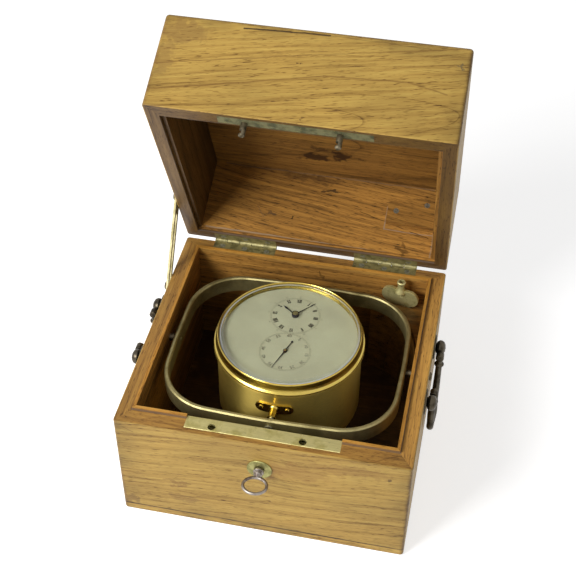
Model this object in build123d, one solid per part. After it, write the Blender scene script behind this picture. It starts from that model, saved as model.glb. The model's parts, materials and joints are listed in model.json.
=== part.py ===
from build123d import *
import os
from math import acos, atan2, cos, degrees, pi, radians, sin, sqrt

# A marine timekeeper in its wooden box, open, with its bowl hung in a gimbal ring.
# Millimetres, +X to the right, +Y to the back, +Z up, origin under the middle of the box.

# Box body
box_width = 180.0
box_depth = 170.0
rim_z = 86.6
bottom_thick = 7.0
side_wall = 11.0
back_wall = 11.0
front_wall = 13.0
corner_round = 2.0
foot_round = 2.5
rim_wear = 0.6
lip_high = 1.8
lip_wide = 2.0

# Lid, with its sizes as it stands when shut
lid_gap = 0.4
lid_high = 62.9
lid_wall = 11.0
lid_front_wall = 12.0
lid_top_thick = 9.0
lid_panel_rebate = 6.0
lid_open_angle = 66.2
lip_clearance = 0.5
lid_rebate_deep = 2.6

# Butt hinges
hinge_offset = 48.5
hinge_long = 43.0
hinge_out = 1.2
leaf_deep = 8.0
leaf_thick = 1.2
knuckle_r = 1.75
knuckle_count = 5
knuckle_gap = 0.3
hinge_pin_r = 0.8
hinge_screw_spread = 15.5

# Wood screws
screw_head_r = 1.9
screw_head_high = 0.9
screw_shank_r = 0.9
screw_long = 6.5
screw_slot = 0.5
body_screw_turn = 20.0
lid_screw_turn = 35.0
block_screw_turn = 45.0

# Lock and key
lock_y = -77.6
plate_left = -47.3
plate_right = 46.7
plate_front = -81.2
plate_thick = 1.6
stud_left = -31.0
stud_right = 24.0
stud_r = 1.9
stud_long = 8.7
stud_hole_r = 2.4
notch_up = 2.6
notch_high = 2.4
notch_deep = 1.6
strike_left = -46.5
strike_right = 43.0
strike_front = -82.3
strike_back = -75.5
strike_thick = 1.4
key_x = -0.6
key_z = 63.9
case_low = 50.0
case_wall = 1.0
plate_bevel = 0.5
bolt_throw = 3.0
bolt_bite = 1.3
bolt_high = 1.8
bolt_deep = 6.2
bolt_side = 0.8
bolt_clearance = 0.3
bolt_end = 2.5
talon_low = 5.0
talon_wide = 7.0
talon_thick = 2.2
escutcheon_r = 7.75
escutcheon_proud = 0.9
shank_r = 2.4
shank_clearance = 0.3
bit_reach = 6.8
bit_thick = 2.0
bit_long = 2.8
bit_back = 75.4
drill_pin_r = 1.0
drill_pin_long = 8.0
bow_half_wide = 8.1
bow_half_long = 6.85
bow_thick = 1.9
bow_bevel = 0.5
bow_y = -97.6
stem_root = 1.3
stem_collar = 3.3
stem_waist = 2.2

# Side handles
post_y = 23.8
handle_z = 77.5
post_out = 4.6
post_head_r = 4.9
post_rise = 1.4
post_end = 7.4
post_neck_r = 2.4
backplate_r = 8.1
backplate_thick = 1.0
bail_r = 2.3
bail_drop = 37.0
bail_corner = 5.5
bail_gap = 0.5
bail_pin_r = 1.3
bail_swell = 3.0
bail_eye_r = 2.6
bail_eye_proud = 0.15
bail_grip_flat = 5.0
bail_pin_reach = 1.4
collar_r = 3.2
collar_low = 7.4
collar_high = 1.4

# Lid stay on the left side
stay_stud_y = 41.0
stay_stud_z = 80.0
stay_plane = 91.6
stay_thick = 1.6
stay_half_wide = 4.2
stay_slot_half = 1.75
stay_pin_r = 1.5
stay_head_r = 2.7
stay_head_high = 1.3
stay_side_gap = 0.3
stay_end_wood = 1.2
stay_slot_spare = 0.6
stay_pin_bite = 5.0

# Gimbal
axis_z = 75.0
ring_side_gap = 4.0
ring_front_gap = 4.5
ring_bow_x = 3.0
ring_bow_y = 4.0
ring_corner = 36.0
ring_thick = 3.0
ring_high = 12.0
ring_edge = 0.8
pivot_tip_r = 1.5
pivot_body_r = 2.6
pivot_clearance = 0.06
pivot_shoulder_gap = 0.3
pivot_tip_short = 0.4
pivot_proud = 1.5
pin_head_r = 2.5
pin_head_high = 1.2
pin_reach = 4.2
pin_room = 0.4
bowl_boss_r = 2.6
bowl_boss_out = 8.5
flange_half = 12.0
flange_r = 3.6
flange_thick = 1.1
flange_screw_x = 8.2
flange_screw_r = 1.5

# Bowl
bowl_r = 46.0
bowl_low = 32.0
bowl_bottom = 2.0
bowl_foot_round = 6.0
bowl_wall = 1.8
ledge_wide = 1.4
ledge_z = 82.5
flange_low = 86.2
flange_out = 1.8
bowl_rim_z = 88.8
bezel_top = 96.6
bezel_in = 0.3
bezel_wall = 1.3
sight_ledge = 1.4
glass_low = 94.4
glass_thick = 1.8
glass_bevel_wide = 3.1
glass_bevel_deep = 1.0
dial_gap = 0.4
dial_top = 91.8
dial_thick = 0.8
dial_room = 0.2
winding_hole_r = 5.0
cover_r = 8.0
cover_thick = 1.4
cover_pivot = 9.5
cover_gap = 0.2
cover_stud_r = 1.2
poise_shift = 2.6
poise_lap = 0.6
poise_high = 12.15
poise_bearing = 35.4
dial_foot_share = 0.76
dial_foot_r = 1.2

# Dial layout
hours_share = 0.391
seconds_share = -0.302
hour_angle = 307.0
minute_angle = 42.4
second_angle = 198.7
hour_reach_share = 0.248
minute_reach_share = 0.357
second_reach_share = 0.359
second_tail_share = 0.187
hand_thick = 0.35
pipe_r = 1.9
collet_r = 2.3
hour_hand_up = 0.6
minute_hand_up = 1.25
second_hand_up = 0.6
collet_high = 0.8
hand_gap = 0.15

# Movement
pillar_plate_thick = 2.5
plate_in = 1.8
top_plate_low = 57.5
top_plate_thick = 2.5
pillar_r = 2.2
pillar_in = 4.3
pillar_bearings = (62.0, 192.0, 262.0, 318.0)
arbor_r = 0.8
pivot_r = 0.6
arbor_clearance = 0.05
wheel_thick = 1.2
pinion_thick = 2.0
crossing_hub = 4.0
crossing_rim = 3.0
crossing_arm = 1.8
pivot_reach = 1.9
great_module_share = 0.013
great_teeth = 60
centre_pinion_teeth = 10
train_module_share = 0.0109
centre_teeth = 64
third_pinion_teeth = 8
third_teeth = 60
fourth_pinion_teeth = 8
fourth_module_share = 0.0098
fourth_teeth = 64
escape_pinion_teeth = 8
centre_wheel_z = 76.6
third_wheel_z = 79.4
fourth_wheel_z = 74.4
great_wheel_z = 63.0
escape_wheel_z = 62.4
escape_teeth = 15
escape_share = 0.165
escape_tooth_deep = 2.4
escape_thick = 0.8
detent_blade_long = 11.0
detent_block_long = 4.0
detent_block_wide = 2.8
barrel_place_share = (-0.326, -0.5)
barrel_share = 0.25
barrel_low = 61.5
barrel_top = 73.0
fusee_bearing = 204.7
fusee_big_share = 0.23
fusee_small_share = 0.122
fusee_turns = 6
balance_place_share = (0.467, -0.27)
balance_share = 0.283
balance_z = 47.5
roller_r = 3.4
roller_room = 0.5
winding_square = 2.4
winding_arbor_low = 37.0

# Winding key, standing in its corner block
wind_key_x = 62.0
wind_key_y = 67.5
wind_key_turn = -12.0
wind_plate_low = 65.0
wind_plate_thick = 2.2
wing_r = 6.6
wing_x = 6.2
wing_z = 76.0
stem_r = 2.3
stem_foot_r = 3.8
stem_lip_r = 2.9
stem_top = 89.5
stem_bore_half = 1.3
block_top = 69.5
block_slot_clear = 0.35
block_slot_long = 18.5
ring_room = 2.5

# Block in the lid, over the winding key
lid_block_left = 45.0
lid_block_thick = 6.0
lid_block_low = 23.0
lid_block_low_right = 21.0
lid_block_high = 37.0
lid_block_high_right = 46.0
lid_block_screw_a = (51.0, 31.0)
lid_block_screw_b = (71.0, 38.0)

# Values that follow from the sizes above
half_w = box_width / 2
half_d = box_depth / 2
inner_x = half_w - side_wall
inner_front = -(half_d - front_wall)
inner_back = half_d - back_wall
lid_z = rim_z + lid_gap
lid_top_z = lid_z + lid_high
lid_inner_x = half_w - lid_wall
lid_inner_front = -(half_d - lid_front_wall)
lid_inner_back = half_d - lid_wall
hinge_y = half_d + hinge_out
hinge_z = rim_z + lid_gap / 2
case_back = inner_front
case_front = lock_y - bolt_deep / 2 - bolt_clearance - case_wall
bolt_reach = stud_r + bolt_throw - bolt_bite
bolt_left = stud_left - bolt_reach - bolt_end
bolt_right = stud_right + stud_r + bolt_clearance + bolt_end
case_left = bolt_left - bolt_clearance - case_wall
case_right = bolt_right + bolt_throw + bolt_clearance + case_wall
bolt_z = lid_z - notch_up - notch_high / 2 - (stud_long - notch_up - notch_high) / 2
bowl_bore = bowl_r - bowl_wall
ledge_bore = bowl_bore - ledge_wide
bowl_flange_r = bowl_r + flange_out
bezel_top_r = bowl_r - bezel_in
glass_r = bezel_top_r - bezel_wall
sight_r = glass_r - sight_ledge
dial_r = bowl_bore - dial_gap
dial_foot_ring = dial_foot_share * bowl_r
bowl_boss_end = bowl_r + bowl_boss_out
ring_half_x = inner_x - ring_side_gap
ring_half_y = bowl_boss_end + ring_front_gap + ring_thick
hours_y = hours_share * bowl_r
seconds_y = seconds_share * bowl_r
hour_reach = hour_reach_share * bowl_r
minute_reach = minute_reach_share * bowl_r
second_reach = second_reach_share * bowl_r
second_tail = second_tail_share * bowl_r
hour_hand_z = dial_top + hour_hand_up
minute_hand_z = dial_top + minute_hand_up
second_hand_z = dial_top + second_hand_up
top_plate_r = ledge_bore - plate_in
pillar_ring = ledge_bore - pillar_in
great_module = great_module_share * bowl_r
train_module = train_module_share * bowl_r
fourth_module = fourth_module_share * bowl_r
escape_r = escape_share * bowl_r
barrel_x, barrel_y = (share * bowl_r for share in barrel_place_share)
barrel_r = barrel_share * bowl_r
fusee_big_r = fusee_big_share * bowl_r
fusee_small_r = fusee_small_share * bowl_r
balance_x, balance_y = (share * bowl_r for share in balance_place_share)
balance_r = balance_share * bowl_r


def span_box(x0, x1, y0, y1, z0, z1):
    """A block between two opposite corners."""
    size = Box(x1 - x0, y1 - y0, z1 - z0)
    return Pos((x0 + x1) / 2, (y0 + y1) / 2, (z0 + z1) / 2) * size


def rod_x(radius, x0, x1, y, z):
    return Pos((x0 + x1) / 2, y, z) * Rot(0, 90, 0) * Cylinder(radius, abs(x1 - x0))


def rod_y(radius, y0, y1, x, z):
    return Pos(x, (y0 + y1) / 2, z) * Rot(90, 0, 0) * Cylinder(radius, abs(y1 - y0))


def rod_z(radius, z0, z1, x=0.0, y=0.0):
    return Pos(x, y, (z0 + z1) / 2) * Cylinder(radius, abs(z1 - z0))


def plan_prism(points, z0, z1):
    """A prism with a straight-sided outline seen from above."""
    face = make_face(Polyline(*points, close=True))
    return Pos(0, 0, z0) * extrude(face, z1 - z0)


def spun(points):
    """A body of revolution about Z from its half section, radius and height."""
    section = Polyline(*[(radius, 0, z) for radius, z in points], close=True)
    return revolve(make_face(section), Axis.Z, 360)


def lid_at_rest(shape):
    """Turn a shape of the shut lid back about the hinge pin, to where the lid stands open."""
    about_pin = Pos(0, hinge_y, hinge_z) * Rot(-lid_open_angle, 0, 0) * Pos(0, -hinge_y, -hinge_z)
    return about_pin * shape


def screw_envelope(place):
    """The hole that a screw fills, its head flush with the place that it is driven at."""
    head = Pos(0, 0, -screw_head_high / 2) * Cylinder(screw_head_r, screw_head_high)
    shank = Pos(0, 0, -screw_long / 2) * Cylinder(screw_shank_r, screw_long)
    return place * (head + shank)


def wood_screw(place, turn=0.0):
    """A wood screw with a flat slotted head, the slot turned as the hand left it."""
    slot = Rot(0, 0, turn) * Box(2 * screw_head_r + 1, screw_slot, screw_head_high)
    return screw_envelope(place) - place * slot


# Box body: four mitred walls on a bottom board

def outer_block(z0, z1, edges_low, edges_high):
    """The solid outline of body or lid, with rounded corners and worn edges."""
    block = span_box(-half_w, half_w, -half_d, half_d, z0, z1)
    block = fillet(block.edges().filter_by(Axis.Z), corner_round)
    if edges_low:
        block = fillet(block.edges().group_by(Axis.Z)[0], edges_low)
    if edges_high:
        block = fillet(block.edges().group_by(Axis.Z)[-1], edges_high)
    return block


def mitre_wedge(side, in_x, in_front, in_back, z0, z1):
    """The stretch of wall between the mitres at both of its ends."""
    outer = {"fl": (-half_w, -half_d), "fr": (half_w, -half_d),
             "br": (half_w, half_d), "bl": (-half_w, half_d)}
    inner = {"fl": (-in_x, in_front), "fr": (in_x, in_front),
             "br": (in_x, in_back), "bl": (-in_x, in_back)}
    first, second = {"front": ("fl", "fr"), "right": ("fr", "br"),
                     "back": ("br", "bl"), "left": ("bl", "fl")}[side]

    def along(corner, share):
        o, i = outer[corner], inner[corner]
        return (i[0] + (o[0] - i[0]) * share, i[1] + (o[1] - i[1]) * share)

    points = [along(first, 1.5), along(second, 1.5), along(second, -0.1), along(first, -0.1)]
    return plan_prism(points, z0, z1)


def body_walls():
    """All four walls in one, with the dust lip standing on the rim's inner edge."""
    walls = outer_block(bottom_thick, rim_z, 0, rim_wear)
    lip = span_box(-inner_x - lip_wide, inner_x + lip_wide, inner_front - lip_wide,
                   inner_back + lip_wide, rim_z - 1, rim_z + lip_high)
    cavity = span_box(-inner_x, inner_x, inner_front, inner_back, 0, rim_z + lip_high + 1)
    return walls + lip - cavity


def body_wall(side, cuts):
    wedge = mitre_wedge(side, inner_x, inner_front, inner_back, 0, rim_z + lip_high + 1)
    wall = body_walls() & wedge
    for cut in cuts:
        wall -= cut
    return wall


def bottom_board():
    return outer_block(0, bottom_thick, foot_round, 0)


def lid_walls():
    """The lid's four walls, rebated inside the rim for the dust lip and on top for the panel."""
    walls = outer_block(lid_z, lid_top_z, rim_wear, foot_round)
    hollow = span_box(-lid_inner_x, lid_inner_x, lid_inner_front, lid_inner_back,
                      lid_z - 1, lid_top_z + 1)
    reach = lip_wide + lip_clearance
    rebate = span_box(-inner_x - reach, inner_x + reach, inner_front - reach,
                      inner_back + reach, lid_z - 1, lid_z + lid_rebate_deep)
    return walls - hollow - rebate - lid_top_panel_block()


def lid_top_panel_block():
    grow = lid_panel_rebate
    return span_box(-lid_inner_x - grow, lid_inner_x + grow, lid_inner_front - grow,
                    lid_inner_back + grow, lid_top_z - lid_top_thick, lid_top_z)


def lid_wall_board(side, cuts):
    wedge = mitre_wedge(side, lid_inner_x, lid_inner_front, lid_inner_back,
                        lid_z - 1, lid_top_z + 1)
    wall = lid_walls() & wedge
    for cut in cuts:
        wall -= cut
    return lid_at_rest(wall)


def lid_top_panel():
    return lid_at_rest(lid_top_panel_block())


# Hinges

def knuckle_spans(owner):
    """Start and end of each knuckle of one leaf, from the hinge's left end."""
    pitch = hinge_long / knuckle_count
    first = 0 if owner == "body" else 1
    return [(i * pitch + (knuckle_gap / 2 if i else 0),
             (i + 1) * pitch - (knuckle_gap / 2 if i < knuckle_count - 1 else 0))
            for i in range(first, knuckle_count, 2)]


def hinge_leaf(owner, centre_x):
    """One leaf let in flush with its rim, with every other knuckle of the hinge."""
    left = centre_x - hinge_long / 2
    low = rim_z - leaf_thick if owner == "body" else lid_z
    leaf = span_box(left, left + hinge_long, half_d - leaf_deep, hinge_y, low, low + leaf_thick)
    other = "lid" if owner == "body" else "body"
    for start, end in knuckle_spans(other):
        leaf -= rod_x(knuckle_r + knuckle_gap, left + start - knuckle_gap,
                      left + end + knuckle_gap, hinge_y, hinge_z)
    for start, end in knuckle_spans(owner):
        leaf += rod_x(knuckle_r, left + start, left + end, hinge_y, hinge_z)
    bore = hinge_pin_r + (0 if owner == "body" else arbor_clearance)
    leaf -= rod_x(bore, left - 1, left + hinge_long + 1, hinge_y, hinge_z)
    for screw in hinge_screws(owner, centre_x):
        leaf -= screw_envelope(screw)
    return leaf


def hinge_screws(owner, centre_x):
    """Places of the three screws through one leaf."""
    y = half_d - leaf_deep / 2
    xs = [centre_x + i * hinge_screw_spread for i in (-1, 0, 1)]
    if owner == "body":
        return [Pos(x, y, rim_z) for x in xs]
    return [Pos(x, y, lid_z) * Rot(180, 0, 0) for x in xs]


def hinge_centres():
    return (-hinge_offset, hinge_offset)


def hinge_room(owner):
    """What a hinge takes out of its wall: the leaf's bed, the knuckles and the screw holes."""
    low = rim_z - leaf_thick if owner == "body" else lid_z - 1
    high = rim_z + 1 if owner == "body" else lid_z + leaf_thick
    cuts = []
    for centre in hinge_centres():
        left, right = centre - hinge_long / 2, centre + hinge_long / 2
        cuts.append(span_box(left, right, half_d - leaf_deep, hinge_y, low, high))
        cuts.append(rod_x(knuckle_r + knuckle_gap, left, right, hinge_y, hinge_z))
        cuts.extend(screw_envelope(screw) for screw in hinge_screws(owner, centre))
    return cuts


def hinge_pins():
    reach = hinge_long / 2
    return [rod_x(hinge_pin_r, c - reach, c + reach, hinge_y, hinge_z) for c in hinge_centres()]


# Lock

def stud_places():
    return (stud_left, stud_right)


def lock_faceplate():
    plate = span_box(plate_left, plate_right, plate_front, inner_front,
                     rim_z - plate_thick, rim_z)
    front = plate.edges().filter_by(Axis.X).sort_by(Axis.Y)[:2].sort_by(Axis.Z)[-1]
    plate = chamfer(front, plate_bevel)
    for x in stud_places():
        plate -= rod_z(stud_hole_r, rim_z - 3, rim_z + 1, x, lock_y)
    return plate


def keyhole(y0, y1):
    """Round for the shank, with a slot below for the bit."""
    round_part = rod_y(shank_r + shank_clearance, y0, y1, key_x, key_z)
    half = bit_thick / 2 + shank_clearance
    slot = span_box(key_x - half, key_x + half, y0, y1,
                    key_z - bit_reach - shank_clearance, key_z)
    return round_part + slot


def lock_case():
    """An open-topped case let into the front wall, flush with its inner face."""
    top = rim_z - plate_thick
    case = span_box(case_left, case_right, case_front, case_back, case_low, top)
    case -= span_box(case_left + case_wall, case_right - case_wall, case_front + case_wall,
                     case_back - case_wall, case_low + case_wall, top + 1)
    case -= keyhole(case_front - 1, case_front + case_wall + 0.5)
    pin = rod_y(drill_pin_r, case_back - drill_pin_long, case_back, key_x, key_z)
    return case + pin


def lock_bolt():
    """A bar with a window round each stud, and a talon that the key's bit pushes."""
    depth = bolt_deep / 2
    low = bolt_z - bolt_high / 2
    bar = span_box(bolt_left, bolt_right, lock_y - depth, lock_y + depth, low, low + bolt_high)
    for x in stud_places():
        bar -= span_box(x - bolt_reach, x + stud_r + bolt_clearance, lock_y - depth + bolt_side,
                        lock_y + depth - bolt_side, low - 1, low + bolt_high + 1)
    face = bit_thick / 2 + bolt_clearance - bolt_throw
    y_mid = -(bit_back + bit_long / 2)
    talon = span_box(key_x + face, key_x + face + talon_wide, y_mid - talon_thick / 2,
                     y_mid + talon_thick / 2, key_z + talon_low, low)
    return bar + talon


def front_wall_cuts():
    """The faceplate's bed, the case's pocket and the way in for the key."""
    bed = span_box(plate_left, plate_right, plate_front, inner_front + 1,
                   rim_z - plate_thick, rim_z + lip_high + 1)
    pocket = span_box(case_left, case_right, case_front, inner_front + 1, case_low,
                      rim_z - plate_thick + 0.01)
    return [bed, pocket, keyhole(-half_d - 1, case_front + 1)]


def escutcheon():
    disc = rod_y(escutcheon_r, -half_d - escutcheon_proud, -half_d, key_x, key_z)
    front = disc.edges().group_by(Axis.Y)[0]
    return chamfer(front, 0.4) - keyhole(-half_d - 3, -half_d + 1)


def strike_plate():
    plate = span_box(strike_left, strike_right, strike_front, strike_back,
                     lid_z, lid_z + strike_thick)
    for x in stud_places():
        plate -= rod_z(stud_r, lid_z - 1, lid_z + strike_thick + 1, x, lock_y)
    return plate


def strike_stud(x):
    """A round stud, notched on its left for the bolt, with a bevelled end."""
    stud = rod_z(stud_r, lid_z - stud_long, lid_z + strike_thick, x, lock_y)
    stud = chamfer(stud.edges().group_by(Axis.Z)[0], stud_r * 0.4)
    low = bolt_z - notch_high / 2
    notch = span_box(x - stud_r - 1, x - stud_r + notch_deep, lock_y - 3, lock_y + 3,
                     low, low + notch_high)
    return stud - notch


def lock_key():
    """A pipe key: turned stem, oval bow and a plain bit, lying as it stands turned."""
    face = half_d + escutcheon_proud
    bore_r = drill_pin_r + shank_clearance
    bore_end = -case_back + drill_pin_long + 1
    root = -bow_y - bow_half_long + bow_thick / 2
    profile = [(0, bore_end), (bore_r, bore_end), (bore_r, bit_back), (shank_r, bit_back),
               (shank_r, face + 0.4), (stem_collar, face + 0.8), (stem_collar, face + 2.0),
               (stem_waist, face + 2.4), (stem_waist, face + 4.2), (stem_root, face + 5.4),
               (stem_root, root), (0, root)]
    stem = Pos(key_x, 0, key_z) * Rot(90, 0, 0) * spun(profile)
    ring = Ellipse(bow_half_wide, bow_half_long) - Ellipse(bow_half_wide - bow_thick,
                                                           bow_half_long - bow_thick)
    bow = extrude(ring, bow_thick)
    bow = chamfer(bow.edges().group_by(Axis.Z)[0] + bow.edges().group_by(Axis.Z)[-1], bow_bevel)
    bow = Pos(key_x, bow_y, key_z - bow_thick / 2) * bow
    bit = span_box(key_x - bit_reach, key_x - shank_r + 0.6, -(bit_back + bit_long), -bit_back,
                   key_z - bit_thick / 2, key_z + bit_thick / 2)
    return stem + bow + bit


# Side handles

def handle_post(side, y):
    """A turned mushroom post, bored from the bail's side for its pin."""
    base = half_w + backplate_thick
    middle = half_w + post_out
    end = half_w + post_end
    points = [(0, half_w), (post_neck_r, half_w), (post_neck_r, base),
              (post_head_r * 0.8, middle - 2 * post_rise), (post_head_r, middle - post_rise),
              (post_head_r, middle), (post_head_r * 0.85, (middle + end) / 2),
              (post_head_r * 0.5, end - 0.4), (0, end)]
    post = Pos(0, y, handle_z) * Rot(0, 90, 0) * spun(points)
    toward = -1 if y > 0 else 1
    bore_end = bail_pin_reach + pivot_clearance
    post -= rod_y(bail_pin_r + pivot_clearance, y + toward * (post_head_r + 1),
                  y - toward * bore_end, middle, handle_z)
    return post if side > 0 else mirror(post, Plane.YZ)


def handle_backplate(side, y):
    x0, x1 = sorted((side * half_w, side * (half_w + backplate_thick)))
    plate = rod_x(backplate_r, x0, x1, y, handle_z)
    outer = plate.edges().sort_by(Axis.X)[-1 if side > 0 else 0]
    plate = chamfer(outer, 0.4)
    return plate - rod_x(post_neck_r, x0 - 1, x1 + 1, y, handle_z)


def bail(side):
    """A drop handle: two collared legs, a swollen grip, and a pin turned out at each end."""
    x = half_w + post_out
    leg_y = post_y - post_head_r - bail_gap - bail_r
    low = handle_z - bail_drop + bail_r
    path = FilletPolyline((x, -leg_y, handle_z), (x, -leg_y, low), (x, leg_y, low),
                          (x, leg_y, handle_z), radius=bail_corner)
    section = Plane(origin=path @ 0, z_dir=path % 0) * Circle(bail_r)
    body = sweep(section, path)
    half = leg_y - bail_corner
    grip = spun([(0, -half), (bail_r, -half), (bail_swell, -bail_grip_flat / 2),
                 (bail_swell, bail_grip_flat / 2), (bail_r, half), (0, half)])
    body += Pos(x, 0, low) * Rot(90, 0, 0) * grip
    for sign in (-1, 1):
        collar_z = handle_z - collar_low
        inner = sign * (leg_y - bail_r - bail_eye_proud)
        outer = sign * (leg_y + bail_r + bail_eye_proud)
        body += rod_z(collar_r, collar_z, collar_z + collar_high, x, sign * leg_y)
        body += rod_y(bail_eye_r, inner, outer, x, handle_z)
        body += rod_y(bail_pin_r, outer, sign * (post_y + bail_pin_reach), x, handle_z)
    return body if side > 0 else mirror(body, Plane.YZ)


# Lid stay

def stay_geometry():
    """Where the stay's pin sits on the shut and the open lid, and how the arm lies."""
    dy, dz = stay_stud_y - hinge_y, stay_stud_z - hinge_z
    shut = (hinge_y + dy, hinge_z - dz)
    turn = radians(-lid_open_angle)
    y, z = dy, -dz
    opened = (hinge_y + y * cos(turn) - z * sin(turn), hinge_z + y * sin(turn) + z * cos(turn))
    return shut, opened


def stay_arm():
    """A flat arm, pinned to the lid, whose long slot slides on the stud in the box's side."""
    shut, opened = stay_geometry()
    run_y, run_z = stay_stud_y - opened[0], stay_stud_z - opened[1]
    far = sqrt(run_y ** 2 + run_z ** 2)
    near = shut[1] - stay_stud_z
    long = far + stay_end_wood
    blank = SlotCenterToCenter(long, 2 * stay_half_wide)
    slot_from = near - stay_slot_spare
    slot = Pos((slot_from + far) / 2 - long / 2, 0) * SlotCenterToCenter(
        far - slot_from, 2 * stay_slot_half)
    eye = Pos(-long / 2, 0) * Circle(stay_pin_r + pivot_clearance)
    flat = extrude(blank - slot - eye, stay_thick)
    flat = Pos(long / 2, 0, 0) * flat
    lean = degrees(atan2(run_z, run_y))
    place = Pos(-stay_plane - stay_thick / 2, opened[0], opened[1]) * Rot(lean, 0, 0)
    return place * Rot(0, 90, 0) * Rot(0, 0, 90) * flat


def stay_pin(y, z):
    """A headed stud let into the wood, on which the arm turns or slides."""
    outer = -(stay_plane + stay_thick / 2)
    neck = outer - stay_side_gap
    pin = rod_x(stay_pin_r, neck, -half_w + stay_pin_bite, y, z)
    shoulder = rod_x(stay_head_r, outer + stay_thick + stay_side_gap, -half_w, y, z)
    head = rod_x(stay_head_r, neck - stay_head_high, neck, y, z)
    head = chamfer(head.edges().sort_by(Axis.X)[0], stay_head_high * 0.5)
    return pin + shoulder + head


def stay_hole(y, z):
    return rod_x(stay_pin_r, -half_w - 1, -half_w + stay_pin_bite, y, z)


# Gimbal

def ring_outline(inset):
    """The ring's plan: bowed sides and well-rounded corners."""
    x, y = ring_half_x - inset, ring_half_y - inset
    cx, cy = x - ring_bow_x, y - ring_bow_y
    sides = [ThreePointArc((-cx, -cy), (0, -y), (cx, -cy)),
             ThreePointArc((cx, -cy), (x, 0), (cx, cy)),
             ThreePointArc((cx, cy), (0, y), (-cx, cy)),
             ThreePointArc((-cx, cy), (-x, 0), (-cx, -cy))]
    face = make_face(sides)
    return fillet(face.vertices(), ring_corner - inset)


def gimbal_ring():
    band = extrude(ring_outline(0) - ring_outline(ring_thick), ring_high)
    band = chamfer(band.edges().group_by(Axis.Z)[0] + band.edges().group_by(Axis.Z)[-1],
                   ring_edge)
    ring = Pos(0, 0, axis_z - ring_high / 2) * band
    across = ring_half_x + 5
    ring -= rod_x(pivot_tip_r + pivot_clearance, -across, across, 0, axis_z)
    ring -= rod_y(pivot_tip_r, -across, across, 0, axis_z)
    return ring


def gimbal_pivot_screw(side):
    """A shouldered screw through the side wall, its tip in the ring."""
    shoulder = ring_half_x + pivot_shoulder_gap
    outer = half_w + pivot_proud
    screw = rod_x(pivot_body_r, shoulder + 1, outer, 0, axis_z)
    screw = chamfer(screw.edges().sort_by(Axis.X)[-1], 0.5)
    neck = rod_x(pivot_body_r - 0.5, shoulder, shoulder + 1, 0, axis_z)
    tip = rod_x(pivot_tip_r, ring_half_x - ring_thick + pivot_tip_short, shoulder, 0, axis_z)
    slot = span_box(outer - 0.6, outer + 1, -screw_slot, screw_slot,
                    axis_z - pivot_body_r, axis_z + pivot_body_r)
    screw = screw + neck + tip - slot
    return screw if side > 0 else mirror(screw, Plane.YZ)


def pivot_hole(side):
    x0, x1 = sorted((side * (inner_x - 1), side * (half_w + 1)))
    return rod_x(pivot_body_r, x0, x1, 0, axis_z)


def bowl_pivot_pin(side):
    """A headed pin through the front or back of the ring, its tip in the bowl's boss."""
    head = rod_y(pin_head_r, ring_half_y, ring_half_y + pin_head_high, 0, axis_z)
    pin = rod_y(pivot_tip_r, bowl_boss_end - pin_reach, ring_half_y + pin_head_high / 2, 0, axis_z)
    solid = head + pin
    return solid if side > 0 else mirror(solid, Plane.XZ)


def bowl_trunnion(side):
    """A pill-shaped flange that hugs the bowl, with a bored boss for the pivot pin."""
    pill = SlotOverall(2 * flange_half, 2 * flange_r)
    prism = Pos(0, bowl_r + flange_thick + 1, axis_z) * Rot(90, 0, 0) * extrude(pill, 12)
    skin = rod_z(bowl_r + flange_thick, axis_z - 10, axis_z + 10)
    skin -= rod_z(bowl_r, axis_z - 11, axis_z + 11)
    flange = prism & skin
    boss = rod_y(bowl_boss_r, bowl_r - 1, bowl_boss_end, 0, axis_z)
    boss -= rod_z(bowl_r, axis_z - 11, axis_z + 11)
    cheek = Pos(0, bowl_r + flange_thick, axis_z) * Rot(90, 0, 0) * Cone(
        bowl_boss_r, bowl_boss_r + 1.2, 1.6)
    cheek -= rod_z(bowl_r + 0.2, axis_z - 11, axis_z + 11)
    solid = flange + boss + cheek
    solid -= rod_y(pivot_tip_r + pivot_clearance, bowl_boss_end - pin_reach - pin_room,
                   bowl_boss_end + 1, 0, axis_z)
    for x in (-flange_screw_x, flange_screw_x):
        solid -= rod_y(flange_screw_r, bowl_r - 4, bowl_r + 4, x, axis_z)
    return solid if side > 0 else mirror(solid, Plane.XZ)


def trunnion_screws():
    """Cheese-head screws, two to each trunnion."""
    screws = []
    depth = sqrt(bowl_r ** 2 - flange_screw_x ** 2)
    for side in (-1, 1):
        for x in (-flange_screw_x, flange_screw_x):
            screw = rod_y(flange_screw_r, side * (depth - 0.4), side * (depth + 1.9), x, axis_z)
            slot = span_box(x - screw_slot / 2, x + screw_slot / 2,
                            *sorted((side * (depth + 1.3), side * (depth + 3))),
                            axis_z - 3, axis_z + 3)
            screws.append(screw - slot)
    return screws


# Bowl and what closes it

def bowl_shell():
    """The brass bowl: a drawn cup with a ledge for the movement and a flange for the bezel."""
    low, top = bowl_low, bowl_rim_z
    foot = bowl_foot_round
    points = [(0, low), (bowl_r - foot, low), (bowl_r - 0.5 * foot, low + 0.13 * foot),
              (bowl_r - 0.13 * foot, low + 0.5 * foot), (bowl_r, low + foot),
              (bowl_r, flange_low), (bowl_flange_r, flange_low + 0.8), (bowl_flange_r, top),
              (bowl_bore, top), (bowl_bore, ledge_z), (ledge_bore, ledge_z),
              (ledge_bore, low + bowl_bottom), (0, low + bowl_bottom)]
    shell = spun(points)
    shell += poise_crescent()
    shell -= rod_z(winding_hole_r, low - 1, low + bowl_bottom + 1, *fusee_place())
    shell += cover_stud()
    for side in (-1, 1):
        for x in (-flange_screw_x, flange_screw_x):
            depth = sqrt(bowl_r ** 2 - flange_screw_x ** 2)
            shell -= rod_y(flange_screw_r, *sorted((side * (depth - 0.4), side * (depth + 3))),
                           x, axis_z)
    return shell


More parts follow.
